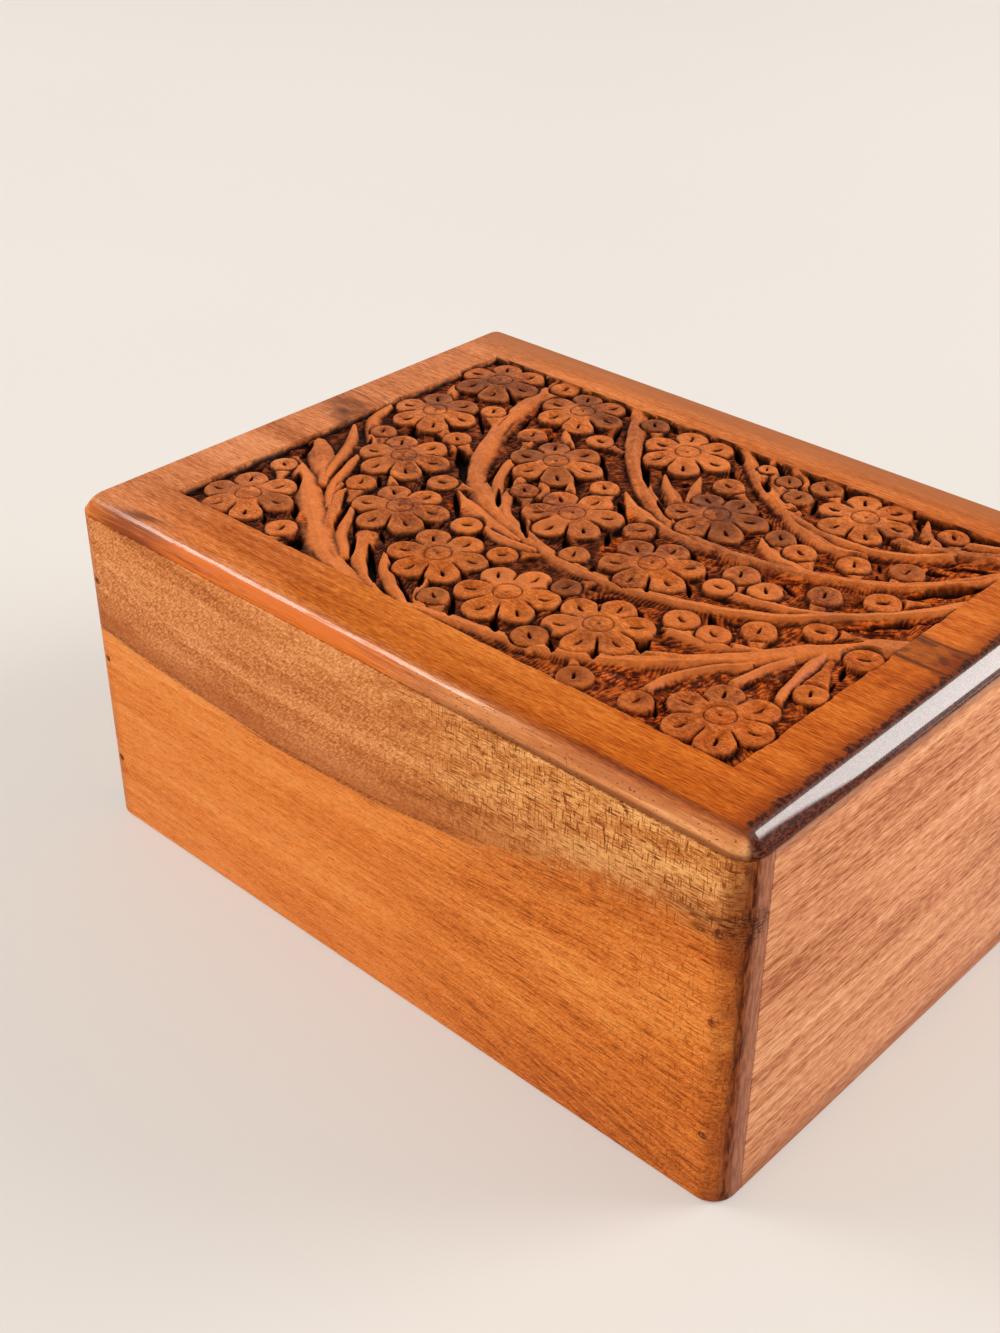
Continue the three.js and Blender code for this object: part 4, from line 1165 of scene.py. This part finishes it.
def front_wood():
    """A long wall: bright orange wood below a wavy dark line, and paler rippled wood above it."""
    look = Look("front_wood")
    x, y, z = look.x, look.y, look.z
    straight = look.point
    look.point = look.join(x, y, (z - 35) * x.step(5, 100, 0.6, 1.0) + 35)
    broad, streak, fibre = grain(look, 0, 2)
    look.point = straight
    lean = look.join(weighed((x, 1.0), (z, -0.8)), y, z)
    slanted = look.noise((1.5, 0.5, 1.1), (0, 0, 0), 3.0, 0.7, 0.0, lean)
    upright = look.noise((2.3, 0.5, 0.35), (7, 1, 3), 3.0, 0.62, 0.5)
    level = look.noise((0.3, 1.0, 2.6), (2, 5, 9), 3.0, 0.62, 0.5)
    crossed = look.math("MINIMUM", upright + 0.02, level)
    on_face = z.step(WALL_TOP - 0.02, WALL_TOP - 0.25)
    where = weighed((x, 1.0), (broad, 40.0)).step(20, 55) * on_face
    above = weighed((z, 1.0), ((streak - 0.5) * 5.0, 1.0), (x.curve(FRONT_LINE, 80), -1.0))
    lower = front_lower(look, broad, streak, fibre, look.math("MINIMUM", slanted, level) + 0.04)
    upper = front_upper(look, above, slanted.under((where, crossed + 0.075))).under(
        (crossed.step(0.45, 0.37) * where * 0.8, (112, 58, 28)),
        (above.step(12.0, 0.0) * x.step(60, 20, 0.6, 0.35), (172, 88, 38)),
    )
    crossing = (above + (level - 0.5) * x.step(10, 50, 26.0, 4.0)) / x.step(10, 50, 3.6, 1.3)
    worn_line = slanted.step(0.42, 0.58, 0.25, 0.75) * x.step(50, 15, 1.0, 0.25)
    scorch = broad.step(0.44, 0.6) * x.step(20, 60) * above.band(-3.0, 4.0, 4.0)
    cuts = upright.step(0.42, 0.33) * x.step(45, 85, 0.75) * on_face
    colour = lower.under(
        (crossing.step(-1.0, 1.0), upper),
        (above.band(0.3, 0.5, 0.5) * worn_line, (116, 48, 20)),
        (scorch * crossed.step(0.56, 0.4, 0.85, 0.3), (106, 42, 14)),
        (cuts, (120, 52, 20)),
        (fibre.step(0.56, 0.72) * 0.4, (132, 56, 18)),
        (level.step(0.42, 0.32) * x.step(-60, 60, 0.6, 0.25), (120, 54, 20)),
    )
    return front_corner(look, colour, streak, fibre, level)


def front_corner(look, colour, streak, fibre, level):
    """The ends of a long wall: browner towards the corner, end grain round it whose purple-grey face is
    partly a painted sheen, and one dark spot.
    """
    away = abs(look.x)
    run = look.noise((0.05, 0.05, 0.11), (4, 4, 4), 3.0, 0.6)
    cracks = look.noise((1.4, 1.4, 0.22), (0, 0, 0), 3.0, 0.6)
    inner = abs(look.y).step(HALF_WIDTH - 3.0, HALF_WIDTH - 4.4)
    # The end grain's flat face in purple-grey: end grain, partly a painted sheen.
    flat = cracks.tones((140, 84, 60), (156, 97, 70), (170, 109, 81))
    end_colour = cracks.tones((72, 26, 10), (112, 50, 20), (150, 76, 36)).under((inner, flat))
    rise = weighed((look.z, 1.0), (streak, 14.0), (run, 8.0))
    smudge = spot(look.x, rise, (95.5, 81.0), (24.0, 5.0)) * level.step(0.56, 0.44, 1.0, 0.25)
    colour = colour.under(
        (away.step(87.5, 93.0) * run.step(0.3, 0.7, 0.75, 0.2), (140, 64, 26)),
        (away.step(HALF_LENGTH - 2.3, HALF_LENGTH - 0.5), end_colour),
        (smudge * 0.85, (52, 20, 8)),
    )
    return look.finish(colour, streak.step(0.3, 0.7, 0.36, 0.46), fibre, 0.04, 0.01, specular=0.05)


def side_wood(name, along, seed, dark, middle, light):
    """A wall or the base in one tone of wood, with straight streaks and short fine dashes."""
    look = Look(name)
    broad, streak, fibre = grain(look, along, seed)
    dash_scale = (0.3, 2.2, 2.2) if along == 0 else (2.2, 0.3, 2.2)
    dashes = look.noise(dash_scale, (seed, 3, 1), 2.0, 0.6)
    tone = weighed((broad, 0.25), (streak, 0.25), (fibre, 0.2), (dashes, 0.3))
    colour = tone.tones(dark, middle, light).under((fibre.step(0.55, 0.7) * 0.45, dark))
    if along == 1:
        # A purple-grey band just below the wall's top, under the lid: a painted reflection.
        sheen_below_seam = look.z.step(WALL_TOP - 2.6, WALL_TOP - 0.8)
        colour = colour.under((sheen_below_seam * 0.55, (142, 96, 80)), (look.z.step(7, 1) * 0.6, (150, 84, 56)))
    rough = streak.step(0.3, 0.7, 0.36, 0.46)
    return look.finish(colour, rough, weighed((fibre, 0.6), (dashes, 0.4)), 0.04, 0.01, specular=0.06)


def brad_steel():
    """Dull dark steel, its heads under brown filler."""
    look = Look("brad_steel")
    spots = look.noise((1.1, 1.1, 1.1), (0, 0, 0), 3.0, 0.7)
    colour = spots.tones((92, 38, 14), (138, 64, 24), (186, 96, 40))
    return look.finish(colour, spots.step(0.3, 0.7, 0.7, 0.5), spots, 0.1, specular=0.2, metal=0.1)


def dress(piece, material):
    """Give a piece its one material."""
    piece.data.materials.clear()
    piece.data.materials.append(material)


def dress_brads(material):
    """The brads' own solids stay, with a better material."""
    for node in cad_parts:
        if "brad" in node:
            for slot in bpy.data.objects[node].material_slots:
                slot.material = material


def floor():
    """A large plain pale floor under the box."""
    half = FLOOR_SIZE / 2
    corners = [(-half, -half, 0), (half, -half, 0), (half, half, 0), (-half, half, 0)]
    piece = new_object("floor", corners, [(0, 1, 2, 3)])
    look = Look("floor_paper")
    cloud = look.noise((0.004, 0.004, 0.004))
    inputs = {0: cloud, 6: paint(228, 221, 213), 7: paint(233, 227, 219)}
    colour = look.add("Mix", inputs, 2, data_type="RGBA")
    fibre = look.noise((0.8, 0.8, 0.8), detail=3.0)
    dress(piece, look.finish(colour, 0.8, fibre, 0.02, glow=(234, 226, 217)))


def lamp(name, towards, along, wide, high, strength, glossy=True):
    """A softbox facing the box from a direction: its width and height in degrees, and brightness."""
    light = bpy.data.lights.new(name, "AREA")
    light.shape = "RECTANGLE"
    light.size = 2 * LAMP_DISTANCE * math.tan(math.radians(wide / 2))
    light.size_y = 2 * LAMP_DISTANCE * math.tan(math.radians(high / 2))
    light.energy = strength * math.pi * light.size * light.size_y
    light.color = LAMP_COLOUR
    holder = placed(name, light)
    holder.visible_glossy = glossy
    back = Vector(towards).normalized()
    up = back.cross(Vector(along)).normalized()
    axes = Matrix((up.cross(back), up, back)).transposed().to_4x4()
    holder.matrix_world = Matrix.Translation(CAMERA_TARGET + back * LAMP_DISTANCE) @ axes


def studio():
    """Even light from all round, a pale backdrop, and softboxes that glint along the lid's edges."""
    world = bpy.data.worlds.new("studio")
    sky = Nodes(world)
    light = sky.add("Background", {"Color": WORLD_COLOUR, "Strength": WORLD_LIGHT})
    sky.close("World", sky.seen(light, sky.add("Background", {"Color": paint(*BACKDROP)})))
    bpy.context.scene.world = world
    lamp("back_window", (0.56, 0.70, 0.44), (0.62, 0, -0.78), 27, 30, 9.2)
    lamp("front_window", (-0.71, -0.38, 0.59), (0, -0.72, -0.69), 7, 26, 11.5)
    lamp("left_fill", (-0.75, -0.35, 0.55), (1, 0, 0), 45, 45, 1.5, False)
    lamp("front_fill", (0.1, -0.85, 0.5), (1, 0, 0), 60, 50, 0.6, False)
    bpy.context.scene.view_settings.view_transform = "Standard"


def camera():
    """The photograph's own viewpoint."""
    data = bpy.data.cameras.new("camera")
    data.lens = LENS
    data.sensor_width = SENSOR
    data.clip_start = 0.01
    holder = placed("camera", data)
    level = math.cos(ELEVATION)
    back = Vector((math.sin(AZIMUTH) * level, -math.cos(AZIMUTH) * level, math.sin(ELEVATION)))
    holder.location = CAMERA_TARGET + back * CAMERA_DISTANCE
    holder.rotation_euler = back.to_track_quat("Z", "Y").to_euler()
    bpy.context.scene.camera = holder


dress(lid_board(), lid_wood())
for name, piece in walls().items():
    dress(piece, side_wood(*END_LOOKS[name], *END_TONES) if name in END_LOOKS else front_wood())
dress(base_board(), side_wood("base_wood", 0, BASE_SEED, *BASE_TONES))
dress_brads(brad_steel())
floor()
studio()
camera()
